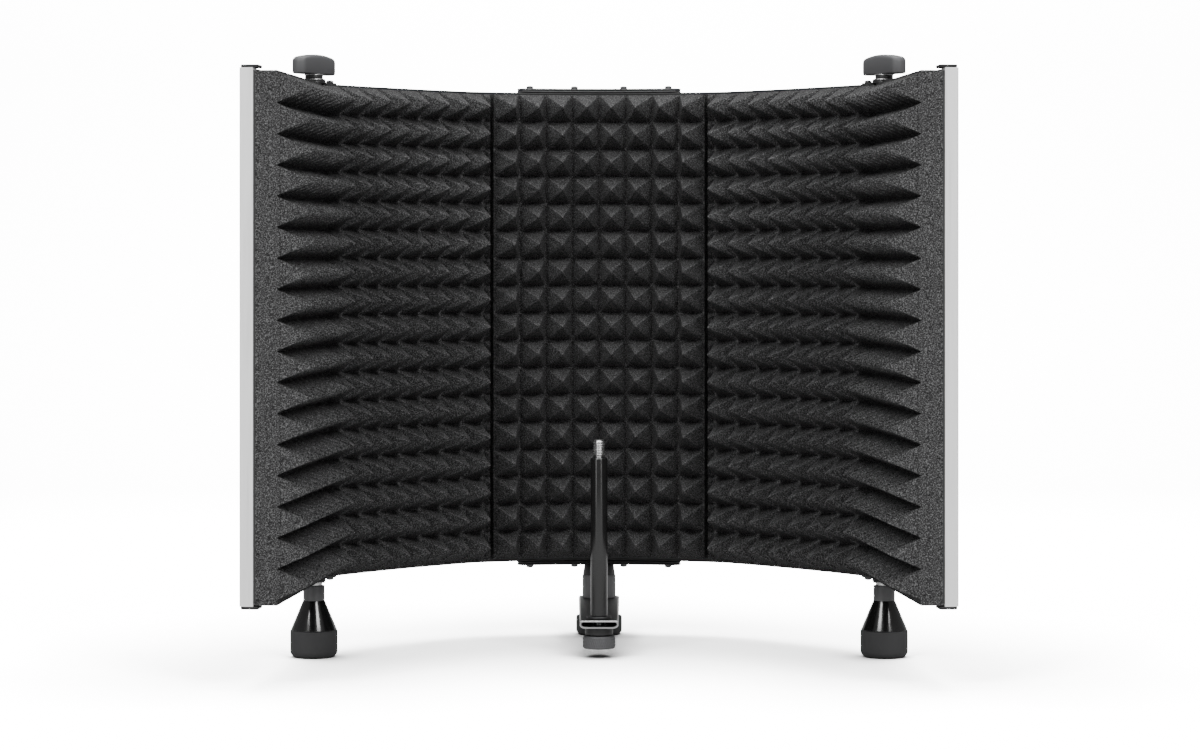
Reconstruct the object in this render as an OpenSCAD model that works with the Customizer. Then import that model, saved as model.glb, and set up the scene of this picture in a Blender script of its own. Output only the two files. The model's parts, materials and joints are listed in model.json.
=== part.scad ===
// Microphone isolation shield for a desk or a stand, with two folding wings.
// Origin on the desk, on the axis of the centre column. +X right, +Y to the rear, +Z up.
// The foam faces -Y. Plan distances "behind the valleys" run outwards from the bottom of the foam grooves.

/* [Panel plan] */
// Radius of the curved centre panel at the foam valleys
centre_radius = 227; // [160:1:300]
// Half of the angle the centre panel turns through
centre_half_angle = 24.1; // [20:0.1:35]
// Width of a pyramid across the centre panel
centre_pitch = 21.5; // [15:0.1:30]
// Angle from the middle at which the foam of a side panel ends, just past the centre foam
side_foam_angle = 22.5; // [20:0.1:24]
// Distance from the column axis forward to the centre of the foam valleys
centre_forward = 21.8; // [15:0.1:30]
// Length of each curved side panel beside the centre
mid_length = 175.4; // [120:0.1:220]
// Angle of a side panel from the X axis where it meets the centre
mid_start_angle = 39.9; // [25:0.1:50]
// Angle of a side panel from the X axis where it meets the wing
mid_end_angle = 56.2; // [40:0.1:70]
// Length of each folding wing
wing_length = 176.1; // [120:0.1:240]
// Angle of the wings from the X axis at rest
wing_angle = 84.8; // [60:0.1:90]

/* [Foam] */
// Rows of pyramids, one above the other
pyramid_rows = 17; // [8:1:24]
// Height of one row of pyramids
row_pitch = 21.77; // [15:0.01:30]
// Pyramids across the centre and each side panel
pyramid_columns = 8; // [4:1:12]
// Whole pyramids across a wing, before the half one at its cut end
wing_columns = 8; // [4:1:12]
// Height of a pyramid from valley to tip
pyramid_depth = 23.8; // [10:0.1:40]
// Foam behind the valleys, both layers together
foam_thickness = 15.4; // [8:0.1:25]
// Part of that foam that belongs to the pyramid layer
pyramid_backing = 2; // [1:0.1:5]
// Height of the lowest valley
foam_bottom = 64.1; // [40:0.1:90]
// Extra foam under the lowest valley of a side panel
side_foam_below = 1.2; // [0.5:0.1:1.5]
// Extra foam under the lowest valley of a wing
wing_foam_below = 3.9; // [1:0.1:8]
// Extra foam over the highest valley of a wing
wing_foam_above = 1.2; // [0.5:0.1:8]
// Gap between the foam of a wing and the foam beside it
foam_gap = 0.5; // [0.2:0.1:3]
// Clearance between layers that lie against each other
fit_gap = 0.05; // [0.01:0.01:0.2]

/* [Sheet and rails] */
// Height of the underside of the bottom rails
panel_bottom = 60; // [40:0.1:90]
// Height of the top of the top rails
panel_top = 436.7; // [300:0.1:500]
// Thickness of the perforated sheet
sheet_thickness = 1.4; // [0.8:0.1:3]
// Depth of the rails behind the sheet
rail_depth = 10; // [6:0.1:16]
// Height of the rail lip
rail_lip = 12; // [6:0.1:20]
// Wall of the rails
rail_wall = 1.4; // [0.8:0.1:3]
// Distance the main sheet and rails stop short of the corner
main_cut_back = 21; // [10:0.1:40]
// Distance the wing sheet and rails start before the corner
wing_overhang = 8; // [0:0.1:20]
// Length of the end channel along the wing
end_channel_length = 14; // [8:0.1:25]
// Height the end channel stands past the rails at each end
end_channel_over = 0.6; // [0:0.1:3]
// Thickness of the end caps
cap_thickness = 2.1; // [1:0.1:4]

/* [Hinges] */
// Hinge axis, distance from the middle
hinge_x = 217.2; // [200:0.1:240]
// Hinge axis, distance in front of the column
hinge_forward = 149.2; // [120:0.1:180]
// Thickness of a hinge leaf
leaf_thickness = 1.2; // [1:0.1:4]
// Gap between two leaves
leaf_gap = 0.1; // [0.05:0.01:0.5]
// Radius of the round end of a leaf
leaf_radius = 9; // [7:0.1:14]
// Distance from the end of the main rails to the screw of the main leaf
leaf_screw_distance = 14; // [5:0.1:30]
// Radius of the threaded hinge studs
hinge_stud_radius = 4; // [2.5:0.05:6]
// Radial clearance of a stud in its leaves
stud_clearance = 0.08; // [0.01:0.01:0.1]
// Radius of the threaded boss on the main leaf
boss_radius = 5.8; // [5:0.1:7]
// Depth of the threaded boss on the main leaf
boss_depth = 2.4; // [2:0.1:5]

/* [Knobs] */
// Length of the oblong top knobs
knob_length = 45; // [30:0.1:60]
// Width of the top knobs
knob_width = 12.5; // [8:0.1:20]
// Rise of the domed top of a knob above its ends
knob_dome = 3.5; // [1:0.1:6]
// Angle of a knob from the X axis
knob_turn = 57; // [0:1:90]
// Height of the top knobs
knob_height = 15.2; // [8:0.1:25]
// Height of the underside of the top knobs
knob_bottom = 443.5; // [300:0.1:500]
// Diameter of the collar under a knob
collar_diameter = 13.7; // [10:0.1:20]

/* [Feet] */
// Diameter of the rubber boots
foot_diameter = 36; // [25:0.1:50]
// Height of the rubber boots
boot_height = 20.5; // [8:0.1:30]
// Height of the top of the foot cone
cone_top = 42.5; // [30:0.1:50]
// Diameter of the foot neck
neck_diameter = 16.3; // [10:0.1:22]
// Height of the top of the foot neck
neck_top = 54.5; // [45:0.1:56]

/* [Centre brackets] */
// Half of the width of the centre brackets
bracket_half_width = 66; // [40:0.1:80]
// Distance from the middle to the inner bracket screws
bracket_screw_inner = 19.9; // [10:0.1:30]
// Distance from the middle to the outer bracket screws
bracket_screw_outer = 55.8; // [35:0.1:64]
// Thickness of the centre brackets
bracket_thickness = 3.6; // [2:0.1:6]
// Depth of the groove along the edge of a bracket
bracket_groove = 0.5; // [0.2:0.1:1.5]

/* [Centre column] */
// Diameter of the column boot
column_boot_diameter = 37; // [30:0.1:50]
// Height of the column boot
column_boot_height = 15.2; // [8:0.1:20]
// Diameter of the column
column_diameter = 26.8; // [20:0.1:35]
// Height of the shoulder where the column cap starts
column_shoulder = 48; // [35:0.1:52]
// Radius of the long stud that holds the column together
column_stud_radius = 3; // [2:0.1:4]
// Diameter of the top of the column cap
cap_top_diameter = 23.6; // [18:0.1:30]
// Radius of the stand thread, five eighths of an inch across
stand_thread_radius = 7.94; // [4.76:0.01:8]
// Depth of the stand thread
stand_thread_depth = 13; // [8:0.1:20]

/* [Microphone arm] */
// Width of the front end of the arm
arm_front_width = 29.5; // [20:0.1:40]
// Width of the rear end of the arm
arm_rear_width = 33; // [20:0.1:45]
// Height of the underside of the arm
arm_bottom = 23.4; // [18:0.1:30]
// Height of the arm section
arm_height = 6; // [4:0.1:12]
// Wall of the arm
arm_wall = 1.3; // [0.8:0.1:2.5]
// Distance from the column to the front end of the arm
arm_reach = 168; // [120:0.5:220]
// Distance from the column to the post at rest
post_forward = 153; // [60:0.5:160]
// Distance the post can slide towards the column
post_travel = 100; // [20:1:110]
// Diameter of the post
post_diameter = 12.9; // [9:0.1:20]
// Height of the underside of the post
post_bottom = 31.4; // [30:0.1:40]
// Height of the top of the post
post_top = 151.9; // [90:0.1:250]
// Radius of the microphone thread, three eighths of an inch across
microphone_thread_radius = 4.76; // [3:0.01:8]
// Length of the microphone thread above the post
microphone_thread_length = 13.7; // [8:0.1:20]
// Radius of the clamping stud under the post
clamp_stud_radius = 4; // [2.5:0.05:6]
// Diameter of the thumb nut
thumb_nut_diameter = 25; // [18:0.1:35]

/* [Hidden] */
$fn = 96;
arc_centre = [0, -centre_forward - centre_radius];
sheet_front = foam_thickness;
foam_back = sheet_front - fit_gap;
foam_front = pyramid_backing + fit_gap;
sheet_back = sheet_front + sheet_thickness;
rail_back = sheet_back + rail_depth;
rail_middle = (sheet_back + rail_back) / 2;
foam_top = foam_bottom + pyramid_rows * row_pitch;
main_end = mid_length - main_cut_back;
wing_pitch = wing_length / (wing_columns + 0.5);
mid_pitch = mid_length / pyramid_columns;
hinge = [-hinge_x, -hinge_forward];
screw_radius = 1.8;
arm_top = arm_bottom + arm_height;
post_root_radius = 4;
post_root_length = 12;

seam = side_point(arc_centre, centre_radius, centre_half_angle);
mid_radius = mid_length / ((mid_end_angle - mid_start_angle) * PI / 180);
mid_centre = seam - mid_radius * outward(mid_start_angle);
corner = mid_centre + mid_radius * outward(mid_end_angle);
centre_step = centre_pitch / centre_radius * 180 / PI;
centre_foam_angle = pyramid_columns / 2 * centre_step;

black = [0.06, 0.06, 0.065];
grey = [0.33, 0.33, 0.34];
steel = [0.72, 0.72, 0.74];
silver = [0.86, 0.86, 0.87];
charcoal = [0.17, 0.17, 0.18];
rubber = [0.12, 0.12, 0.12];

function along(angle) = [-cos(angle), -sin(angle)];
function outward(angle) = [-sin(angle), cos(angle)];
function side_point(middle, radius, angle) = middle + radius * outward(angle);
function mitre(point, first, second, behind) =
    point + behind / cos((second - first) / 2) * outward((first + second) / 2);
function seam_at(behind) = mitre(seam, centre_half_angle, mid_start_angle, behind);
function corner_at(behind) = mitre(corner, mid_end_angle, wing_angle, behind);
function mid_at(distance, behind) = side_point(
    mid_centre,
    mid_radius + behind,
    mid_start_angle + (mid_end_angle - mid_start_angle) * distance / mid_length
);
function wing_at(distance, behind) = corner + distance * along(wing_angle) + behind * outward(wing_angle);
function centre_at(angle, behind) = side_point(arc_centre, centre_radius + behind, angle);
function bracket_spot(x) = centre_at(asin(x / (centre_radius + rail_middle)), rail_middle);
function row_heights() = [for (row = [0 : pyramid_rows]) foam_bottom + row * row_pitch];

// The main panel in plan, from the left end to the right, at one distance behind the valleys.
function centre_line(behind) = concat(
    [seam_at(behind)],
    [for (k = [12 : -1 : -12]) centre_at(k * centre_half_angle / 12, behind)],
    [mirrored(seam_at(behind))]
);
function side_line(behind, finish) = [for (step = [1 : 12]) mid_at(finish * step / 12, behind)];
function main_line(behind) = concat(
    backwards(side_line(behind, main_end)),
    centre_line(behind),
    [for (point = side_line(behind, main_end)) mirrored(point)]
);
function mirrored(point) = [-point.x, point.y];
function backwards(list) = [for (i = [len(list) - 1 : -1 : 0]) list[i]];

module main_band(front, back, low, high, between = []) {
    ends = [for (behind = between) mid_at(main_end, behind)];
    translate([0, 0, low]) linear_extrude(high - low) polygon(concat(
        ends, main_line(front), [for (end = backwards(ends)) mirrored(end)], backwards(main_line(back))
    ));
}

module wing_band(front, back, low, high, start = -wing_overhang, finish = wing_length) {
    translate([0, 0, low]) linear_extrude(high - low)
        polygon([
            wing_at(start, front), wing_at(start, back), wing_at(finish, back), wing_at(finish, front)
        ]);
}

// A layer of pyramids: the plan of its valleys, tips and back, and the heights between its rows.
module pyramid_layer(valleys, tips, backs, heights) {
    columns = len(valleys) - 1;
    rows = len(heights) - 1;
    first_tip = (columns + 1) * (rows + 1);
    first_back = first_tip + columns * rows;
    points = concat(
        [for (c = [0 : columns], r = [0 : rows]) [valleys[c].x, valleys[c].y, heights[r]]],
        [for (c = [0 : columns - 1], r = [0 : rows - 1])
            [tips[c].x, tips[c].y, (heights[r] + heights[r + 1]) / 2]],
        [for (c = [0 : columns], end = [0, rows]) [backs[c].x, backs[c].y, heights[end]]]
    );
    function valley(c, r) = c * (rows + 1) + r;
    function tip(c, r) = first_tip + c * rows + r;
    function low(c) = first_back + 2 * c;
    function high(c) = first_back + 2 * c + 1;
    function is_flat(r) = heights[r + 1] - heights[r] < row_pitch / 2;
    faces = concat(
        [for (c = [0 : columns - 1], r = [0 : rows - 1], edge = [0 : 3]) if (!is_flat(r))
            let (ring = [valley(c, r), valley(c + 1, r), valley(c + 1, r + 1), valley(c, r + 1)])
                [ring[edge], ring[(edge + 1) % 4], tip(c, r)]],
        [for (c = [0 : columns - 1], r = [0 : rows - 1]) if (is_flat(r))
            [valley(c, r), valley(c + 1, r), valley(c + 1, r + 1), valley(c, r + 1)]],
        [for (c = [0 : columns - 1]) [low(c), high(c), high(c + 1), low(c + 1)]],
        [for (c = [0 : columns - 1]) [valley(c + 1, 0), valley(c, 0), low(c), low(c + 1)]],
        [for (c = [0 : columns - 1]) [valley(c, rows), valley(c + 1, rows), high(c + 1), high(c)]],
        [concat([high(0), low(0)], [for (r = [0 : rows]) valley(0, r)])],
        [concat([low(columns), high(columns)], [for (r = [rows : -1 : 0]) valley(columns, r)])]
    );
    polyhedron(points = points, faces = faces);
}

// Screw with a low round head; the head is on the far side of z = 0.
module screw(length) {
    translate([0, 0, -length]) cylinder(r = screw_radius, h = length);
    difference() {
        intersection() {
            cylinder(r = 2.8, h = 2.4);
            translate([0, 0, -2.6]) sphere(r = 5);
        }
        translate([0, 0, 1.1]) cylinder(r = 1.2, h = 2, $fn = 6);
    }
}

module main_sheet() {
    color(black)
        main_band(sheet_front, sheet_back, panel_bottom + rail_wall, panel_top - rail_wall);
}

module wing_sheet() {
    color(black)
        wing_band(sheet_front, sheet_back, panel_bottom + rail_wall, panel_top - rail_wall);
}

module main_rail(low, lip_low) {
    color(black) difference() {
        union() {
            main_band(sheet_front, rail_back, low, low + rail_wall, [rail_back - rail_wall]);
            main_band(rail_back - rail_wall, rail_back, lip_low, lip_low + rail_lip);
        }
        for (side = [-1, 1]) {
            for (x = [bracket_screw_inner, bracket_screw_outer])
                translate([side * x, bracket_spot(x).y, low - 1])
                    cylinder(r = screw_radius, h = rail_wall + 2);
            translate([side * leaf_screw_spot().x, leaf_screw_spot().y, low - 1])
                cylinder(r = screw_radius, h = rail_wall + 2);
        }
        if (low == panel_bottom)
            translate([0, 0, low - 1]) cylinder(r = column_stud_radius, h = rail_wall + 2);
    }
}

function leaf_screw_spot() = mid_at(main_end - leaf_screw_distance, rail_middle);
function wing_screw_spot() = wing_at(8, rail_middle);

module main_top_rail() { main_rail(panel_top - rail_wall, panel_top - rail_lip); }
module main_bottom_rail() { main_rail(panel_bottom, panel_bottom); }

module wing_rails() {
    finish = wing_length - end_channel_length;
    color(black) for (top = [false, true]) {
        low = top ? panel_top - rail_wall : panel_bottom;
        lip_low = top ? panel_top - rail_lip : panel_bottom;
        difference() {
            union() {
                wing_band(sheet_front, rail_back, low, low + rail_wall, finish = finish);
                wing_band(rail_back - rail_wall, rail_back, lip_low, lip_low + rail_lip, finish = finish);
            }
            translate([wing_screw_spot().x, wing_screw_spot().y, low - 1])
                cylinder(r = screw_radius, h = rail_wall + 2);
        }
    }
}

module end_channel() {
    start = wing_length - end_channel_length;
    low = panel_bottom - end_channel_over;
    high = panel_top + end_channel_over;
    color(silver) difference() {
        wing_band(sheet_back + fit_gap, rail_back - 0.2, low, high, start + fit_gap, wing_length + 0.6);
        wing_band(sheet_back + 1.2, rail_back - 1.4, low - 1, high + 1, start - 1, wing_length - 0.8);
    }
}

module end_caps() {
    start = wing_length - end_channel_length;
    color(black) for (low = [panel_top + end_channel_over, panel_bottom - end_channel_over - cap_thickness])
        wing_band(sheet_front - 2.4, rail_back - 0.9, low, low + cap_thickness, start - 1, wing_length + 0.9);
}

function centre_foam_line(behind) = concat(
    [centre_at(centre_foam_angle, behind)],
    [for (k = [10 : -1 : -10]) centre_at(k * centre_half_angle / 12, behind)],
    [centre_at(-centre_foam_angle, behind)]
);

module centre_foam_base() {
    color(charcoal) translate([0, 0, foam_bottom]) linear_extrude(foam_top - foam_bottom)
        polygon(concat(centre_foam_line(foam_front), backwards(centre_foam_line(foam_back))));
}

module centre_foam_pyramids() {
    angles = [for (c = [0 : pyramid_columns]) (c - pyramid_columns / 2) * centre_step];
    color(charcoal) pyramid_layer(
        [for (a = angles) centre_at(a, 0)],
        [for (c = [0 : pyramid_columns - 1]) centre_at((angles[c] + angles[c + 1]) / 2, -pyramid_depth)],
        [for (a = angles) centre_at(a, pyramid_backing)],
        row_heights()
    );
}

function side_foam_line(behind) = concat(
    [centre_at(side_foam_angle, behind), seam_at(behind)],
    [for (c = [1 : 11]) mid_at(c * mid_length / 12, behind)],
    [corner_at(behind)]
);

module mid_foam_base() {
    low = foam_bottom - side_foam_below;
    color(charcoal) translate([0, 0, low]) linear_extrude(foam_top - low)
        polygon(concat(side_foam_line(foam_front), backwards(side_foam_line(foam_back))));
}

// The side foam turns round the seam and is cut off there, which leaves a low strip of its next pyramids.
module mid_foam_pyramids() {
    inner_backs = [for (c = [1 : pyramid_columns - 1]) mid_at(c * mid_pitch, pyramid_backing)];
    color(charcoal) pyramid_layer(
        concat([centre_at(side_foam_angle, 0)], [for (c = [0 : pyramid_columns]) mid_at(c * mid_pitch, 0)]),
        concat(
            [centre_at(side_foam_angle + 0.7, -pyramid_depth / 3)],
            [for (c = [0 : pyramid_columns - 1]) mid_at((c + 0.5) * mid_pitch, -pyramid_depth)]
        ),
        concat(
            [centre_at(side_foam_angle, pyramid_backing), seam_at(pyramid_backing)],
            inner_backs,
            [corner_at(pyramid_backing)]
        ),
        concat([foam_bottom - side_foam_below], row_heights())
    );
}

module wing_foam_base() {
    shift = foam_gap * along(wing_angle);
    low = foam_bottom - wing_foam_below;
    high = foam_top + wing_foam_above;
    color(charcoal) translate([0, 0, low]) linear_extrude(high - low)
        polygon([
            corner_at(foam_front) + shift, corner_at(foam_back) + shift,
            wing_at(wing_length, foam_back), wing_at(wing_length, foam_front)
        ]);
}

module wing_foam_pyramids() {
    shift = foam_gap * along(wing_angle);
    inner = [for (c = [1 : wing_columns]) c * wing_pitch];
    color(charcoal) pyramid_layer(
        concat([corner + shift], [for (d = inner) wing_at(d, 0)], [wing_at(wing_length, 0)]),
        [for (c = [0 : wing_columns]) wing_at((c + 0.5) * wing_pitch, -pyramid_depth)],
        concat(
            [corner_at(pyramid_backing) + shift], [for (d = inner) wing_at(d, pyramid_backing)],
            [wing_at(wing_length, pyramid_backing)]
        ),
        concat([foam_bottom - wing_foam_below], row_heights(), [foam_top + wing_foam_above])
    );
}

// Outline of a centre bracket: a curved bar with round ends, drawn in from its edges by an inset.
module bracket_outline(inset) {
    half_width = (rail_back - sheet_front) / 2 + 0.6 - inset;
    middle = centre_radius + (rail_back + sheet_front) / 2;
    half_angle = asin((bracket_half_width - half_width) / middle);
    end_steps = [15 : 15 : 165];
    side_steps = [-1 : 0.1 : 1.01];
    function end_point(side, turn) =
        arc_centre + middle * outward(side * half_angle) + half_width * outward(side * half_angle + turn);
    polygon(concat(
        [for (k = side_steps) arc_centre + (middle + half_width) * outward(k * half_angle)],
        [for (turn = end_steps) end_point(1, turn)],
        [for (k = side_steps) arc_centre + (middle - half_width) * outward(-k * half_angle)],
        [for (turn = end_steps) end_point(-1, turn + 180)]
    ));
}

// A centre bracket lying on z = 0, with a groove along the middle of its edge.
module bracket() {
    third = bracket_thickness / 3;
    linear_extrude(bracket_thickness) bracket_outline(bracket_groove);
    for (low = [0, 2 * third]) translate([0, 0, low]) linear_extrude(third) bracket_outline(0);
}

module bracket_screw_holes(low) {
    for (side = [-1, 1], x = [bracket_screw_inner, bracket_screw_outer])
        translate([side * x, bracket_spot(x).y, low]) cylinder(r = screw_radius, h = 8);
}

module top_bracket() {
    color(black) difference() {
        translate([0, 0, panel_top]) bracket();
        bracket_screw_holes(panel_top - 1);
    }
}

module bottom_bracket() {
    color(black) difference() {
        translate([0, 0, panel_bottom]) mirror([0, 0, 1]) bracket();
        bracket_screw_holes(panel_bottom - 7);
        translate([0, 0, panel_bottom - 7]) cylinder(r = column_stud_radius, h = 8);
    }
}

module top_bracket_screws() {
    color(steel) for (side = [-1, 1], x = [bracket_screw_inner, bracket_screw_outer])
        translate([side * x, bracket_spot(x).y, panel_top + bracket_thickness]) screw(9);
}

module bottom_bracket_screws() {
    color(steel) for (side = [-1, 1], x = [bracket_screw_inner, bracket_screw_outer])
        translate([side * x, bracket_spot(x).y, panel_bottom - bracket_thickness])
            mirror([0, 0, 1]) screw(9);
}

// Plan of a leaf: round about the hinge axis, with an arm to its screw.
module leaf_plan(spot, end_radius, width) {
    way = spot - hinge;
    translate(hinge) circle(r = leaf_radius);
    translate(spot) circle(r = end_radius);
    translate(hinge) rotate(atan2(way.y, way.x)) translate([0, -width / 2]) square([norm(way), width]);
}

// Two leaves on the main rails, with a threaded boss behind the foam.
module main_leaves() {
    color(black) for (top = [false, true]) {
        low = top ? panel_top : panel_bottom - leaf_thickness;
        boss_low = top ? panel_top - boss_depth : panel_bottom - leaf_thickness;
        difference() {
            union() {
                translate([0, 0, low]) linear_extrude(leaf_thickness) leaf_plan(leaf_screw_spot(), 5, 10);
                translate([hinge.x, hinge.y, boss_low])
                    cylinder(r = boss_radius, h = boss_depth + leaf_thickness);
            }
            translate([hinge.x, hinge.y, boss_low - 1])
                cylinder(r = hinge_stud_radius + stud_clearance, h = boss_depth + leaf_thickness + 2);
            translate([leaf_screw_spot().x, leaf_screw_spot().y, low - 1])
                cylinder(r = screw_radius, h = leaf_thickness + 2);
        }
    }
}

// Two leaves on the wing rails, outside the main leaves; the block takes up the step to the rail.
module wing_leaves() {
    color(black) for (top = [false, true]) {
        step = leaf_thickness + leaf_gap;
        low = top ? panel_top + step : panel_bottom - step - leaf_thickness;
        block_low = top ? panel_top : panel_bottom - step;
        difference() {
            union() {
                translate([0, 0, low]) linear_extrude(leaf_thickness) leaf_plan(wing_screw_spot(), 6, 12);
                wing_band(rail_middle - 5, rail_middle + 5, block_low, block_low + step, 3, 14);
                wing_band(rail_middle - 5, rail_middle + 5, low, low + leaf_thickness, 3, 14);
            }
            translate([hinge.x, hinge.y, low - 1])
                cylinder(r = hinge_stud_radius + stud_clearance, h = leaf_thickness + 2);
            translate([wing_screw_spot().x, wing_screw_spot().y, panel_bottom - 6])
                cylinder(r = screw_radius, h = panel_top - panel_bottom + 12);
        }
    }
}

module main_leaf_screws() {
    color(steel) {
        translate([leaf_screw_spot().x, leaf_screw_spot().y, panel_top + leaf_thickness]) screw(7);
        translate([leaf_screw_spot().x, leaf_screw_spot().y, panel_bottom - leaf_thickness])
            mirror([0, 0, 1]) screw(7);
    }
}

module wing_leaf_screws() {
    reach = 2 * leaf_thickness + leaf_gap;
    color(steel) {
        translate([wing_screw_spot().x, wing_screw_spot().y, panel_top + reach]) screw(8);
        translate([wing_screw_spot().x, wing_screw_spot().y, panel_bottom - reach])
            mirror([0, 0, 1]) screw(8);
    }
}

module at_hinge(height) { translate([hinge.x, hinge.y, height]) children(); }

// Oblong knob with a domed top and its own stud.
module knob() {
    dome_radius = (pow(knob_length / 2, 2) + pow(knob_dome, 2)) / (2 * knob_dome);
    color(grey) at_hinge(knob_bottom) {
        rotate([0, 0, knob_turn]) intersection() {
            union() {
                for (side = [-1, 1]) translate([side * (knob_length - knob_width) / 2, 0])
                    cylinder(d = knob_width, h = knob_height);
                translate([-(knob_length - knob_width) / 2, -knob_width / 2])
                    cube([knob_length - knob_width, knob_width, knob_height]);
            }
            translate([0, knob_width, knob_height - dome_radius]) rotate([90, 0, 0])
                cylinder(r = dome_radius, h = 2 * knob_width, $fn = 240);
        }
        translate([0, 0, panel_top - boss_depth - knob_bottom])
            cylinder(r = hinge_stud_radius, h = knob_bottom + 1 - panel_top + boss_depth);
    }
}

module ring(outer, height) {
    difference() {
        cylinder(r = outer, h = height);
        translate([0, 0, -1]) cylinder(r = hinge_stud_radius + stud_clearance, h = height + 2);
    }
}

module knob_collar() {
    color(black) at_hinge(knob_bottom - 3.1) ring(collar_diameter / 2, 2.5);
}

module knob_washers() {
    color(steel) {
        at_hinge(knob_bottom - 0.6) ring(collar_diameter / 2 + 0.4, 0.6);
        at_hinge(knob_bottom - 4.2) ring(collar_diameter / 2 + 1.7, 1.1);
    }
}

// Foot cone with its neck and its own stud.
module foot() {
    color(black) at_hinge(0) {
        translate([0, 0, 3]) cylinder(d = foot_diameter - 8, h = boot_height - 3);
        translate([0, 0, boot_height])
            cylinder(d1 = foot_diameter - 0.4, d2 = neck_diameter, h = cone_top - boot_height);
        translate([0, 0, cone_top]) cylinder(d = neck_diameter, h = neck_top - cone_top);
        translate([0, 0, neck_top]) cylinder(r = hinge_stud_radius, h = panel_bottom + boss_depth - neck_top);
    }
}

module foot_boot() {
    color(rubber) at_hinge(0) difference() {
        rotate_extrude() polygon([
            [0, 0], [foot_diameter / 2 - 4.5, 0], [foot_diameter / 2 - 2.2, 0.6],
            [foot_diameter / 2 - 0.6, 2.2], [foot_diameter / 2, 4.5],
            [foot_diameter / 2, boot_height - 0.8], [foot_diameter / 2 - 0.8, boot_height], [0, boot_height]
        ]);
        translate([0, 0, 3]) cylinder(d = foot_diameter - 8, h = boot_height);
    }
}

module foot_washers() {
    color(steel) {
        at_hinge(neck_top) ring(6.4, 2);
        at_hinge(neck_top + 2) ring(8.4, 0.8);
    }
}

module column_boot() {
    radius = column_boot_diameter / 2;
    color(rubber) difference() {
        rotate_extrude() polygon([
            [0, 0], [radius - 2, 0], [radius - 0.6, 0.6], [radius, 2], [radius, column_boot_height - 0.8],
            [radius - 0.8, column_boot_height], [0, column_boot_height]
        ]);
        translate([0, 0, -1]) cylinder(r = 11, h = column_boot_height + 2);
    }
}

// Metal hub with the stand thread underneath.
module column_hub() {
    color(black) difference() {
        union() {
            cylinder(r = 11, h = column_boot_height);
            translate([0, 0, column_boot_height]) cylinder(r = 15, h = arm_bottom - column_boot_height);
        }
        translate([0, 0, -1]) cylinder(r = stand_thread_radius, h = stand_thread_depth + 1);
        translate([0, 0, stand_thread_depth]) cylinder(r = column_stud_radius, h = 20);
    }
}

module column_sleeve() {
    color(grey) difference() {
        translate([0, 0, arm_top]) cylinder(d = column_diameter, h = column_shoulder - arm_top);
        translate([0, 0, arm_top - 1]) cylinder(r = column_stud_radius, h = 40);
    }
}

module column_cap() {
    color(black) difference() {
        translate([0, 0, column_shoulder])
            cylinder(d1 = column_diameter - 0.6, d2 = cap_top_diameter,
                h = panel_bottom - bracket_thickness - column_shoulder);
        translate([0, 0, column_shoulder - 1]) cylinder(r = column_stud_radius, h = 20);
    }
}

// Long stud through the hub, arm, sleeve, cap, bracket and rail.
module column_stud() {
    color(steel) translate([0, 0, stand_thread_depth + 1])
        cylinder(r = column_stud_radius, h = panel_bottom + 4 - stand_thread_depth - 1);
}

module slot(width, start, finish) {
    for (y = [-start, -finish]) translate([0, y]) circle(d = width);
    translate([-width / 2, -finish]) square([width, finish - start]);
}

// Plan of the arm, drawn in from its long sides by an inset.
module arm_outline(inset, past) {
    rear = column_diameter / 2 + 1.5 + past;
    polygon([
        [-arm_rear_width / 2 + inset, rear], [arm_rear_width / 2 - inset, rear],
        [arm_front_width / 2 - inset, -arm_reach - past], [-arm_front_width / 2 + inset, -arm_reach - past]
    ]);
}

// Flat tube, slotted through both faces for the post.
module arm() {
    slot_width = 2 * (clamp_stud_radius + stud_clearance);
    color(black) translate([0, 0, arm_bottom]) difference() {
        linear_extrude(arm_height) arm_outline(0, 0);
        translate([0, 0, arm_wall]) linear_extrude(arm_height - 2 * arm_wall) arm_outline(arm_wall, 1);
        translate([0, 0, -1]) linear_extrude(arm_height + 2)
            slot(slot_width, post_forward - post_travel - 1, post_forward + 6);
        translate([0, 0, -1]) cylinder(r = column_stud_radius, h = arm_height + 2);
    }
}

module at_post(height) { translate([0, -post_forward, height]) children(); }

// Round post with the clamping stud under it.
module post() {
    radius = post_diameter / 2;
    color(black) at_post(0) difference() {
        union() {
            rotate_extrude() polygon([
                [0, post_bottom], [radius, post_bottom], [radius, post_top - 0.8], [radius - 0.8, post_top],
                [0, post_top]
            ]);
            translate([0, 0, 6.2]) cylinder(r = clamp_stud_radius, h = post_bottom - 6.2);
        }
        translate([0, 0, post_top - post_root_length])
            cylinder(r = post_root_radius, h = post_root_length + 1);
    }
}

module post_flange() {
    color(black) at_post(arm_top + 0.1) difference() {
        cylinder(d = 19, h = post_bottom - arm_top - 0.1);
        translate([0, 0, -1]) cylinder(r = clamp_stud_radius, h = 6);
    }
}

module microphone_stud() {
    color(steel) at_post(post_top) {
        cylinder(r = microphone_thread_radius, h = microphone_thread_length);
        translate([0, 0, -post_root_length]) cylinder(r = post_root_radius, h = post_root_length);
    }
}

module clamp_collar() {
    color(black) at_post(arm_bottom - 6) difference() {
        cylinder(d = 21.3, h = 5.9);
        translate([0, 0, -1]) cylinder(r = clamp_stud_radius, h = 8);
    }
}

module thumb_nut() {
    radius = thumb_nut_diameter / 2;
    color(grey) at_post(7.2) difference() {
        rotate_extrude() polygon([
            [0, 0], [radius - 0.8, 0], [radius, 0.8], [radius, 8.7], [radius - 0.8, 9.5], [0, 9.5]
        ]);
        translate([0, 0, -1]) cylinder(r = clamp_stud_radius + stud_clearance, h = 12);
    }
}

module right() { mirror([1, 0, 0]) children(); }

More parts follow.
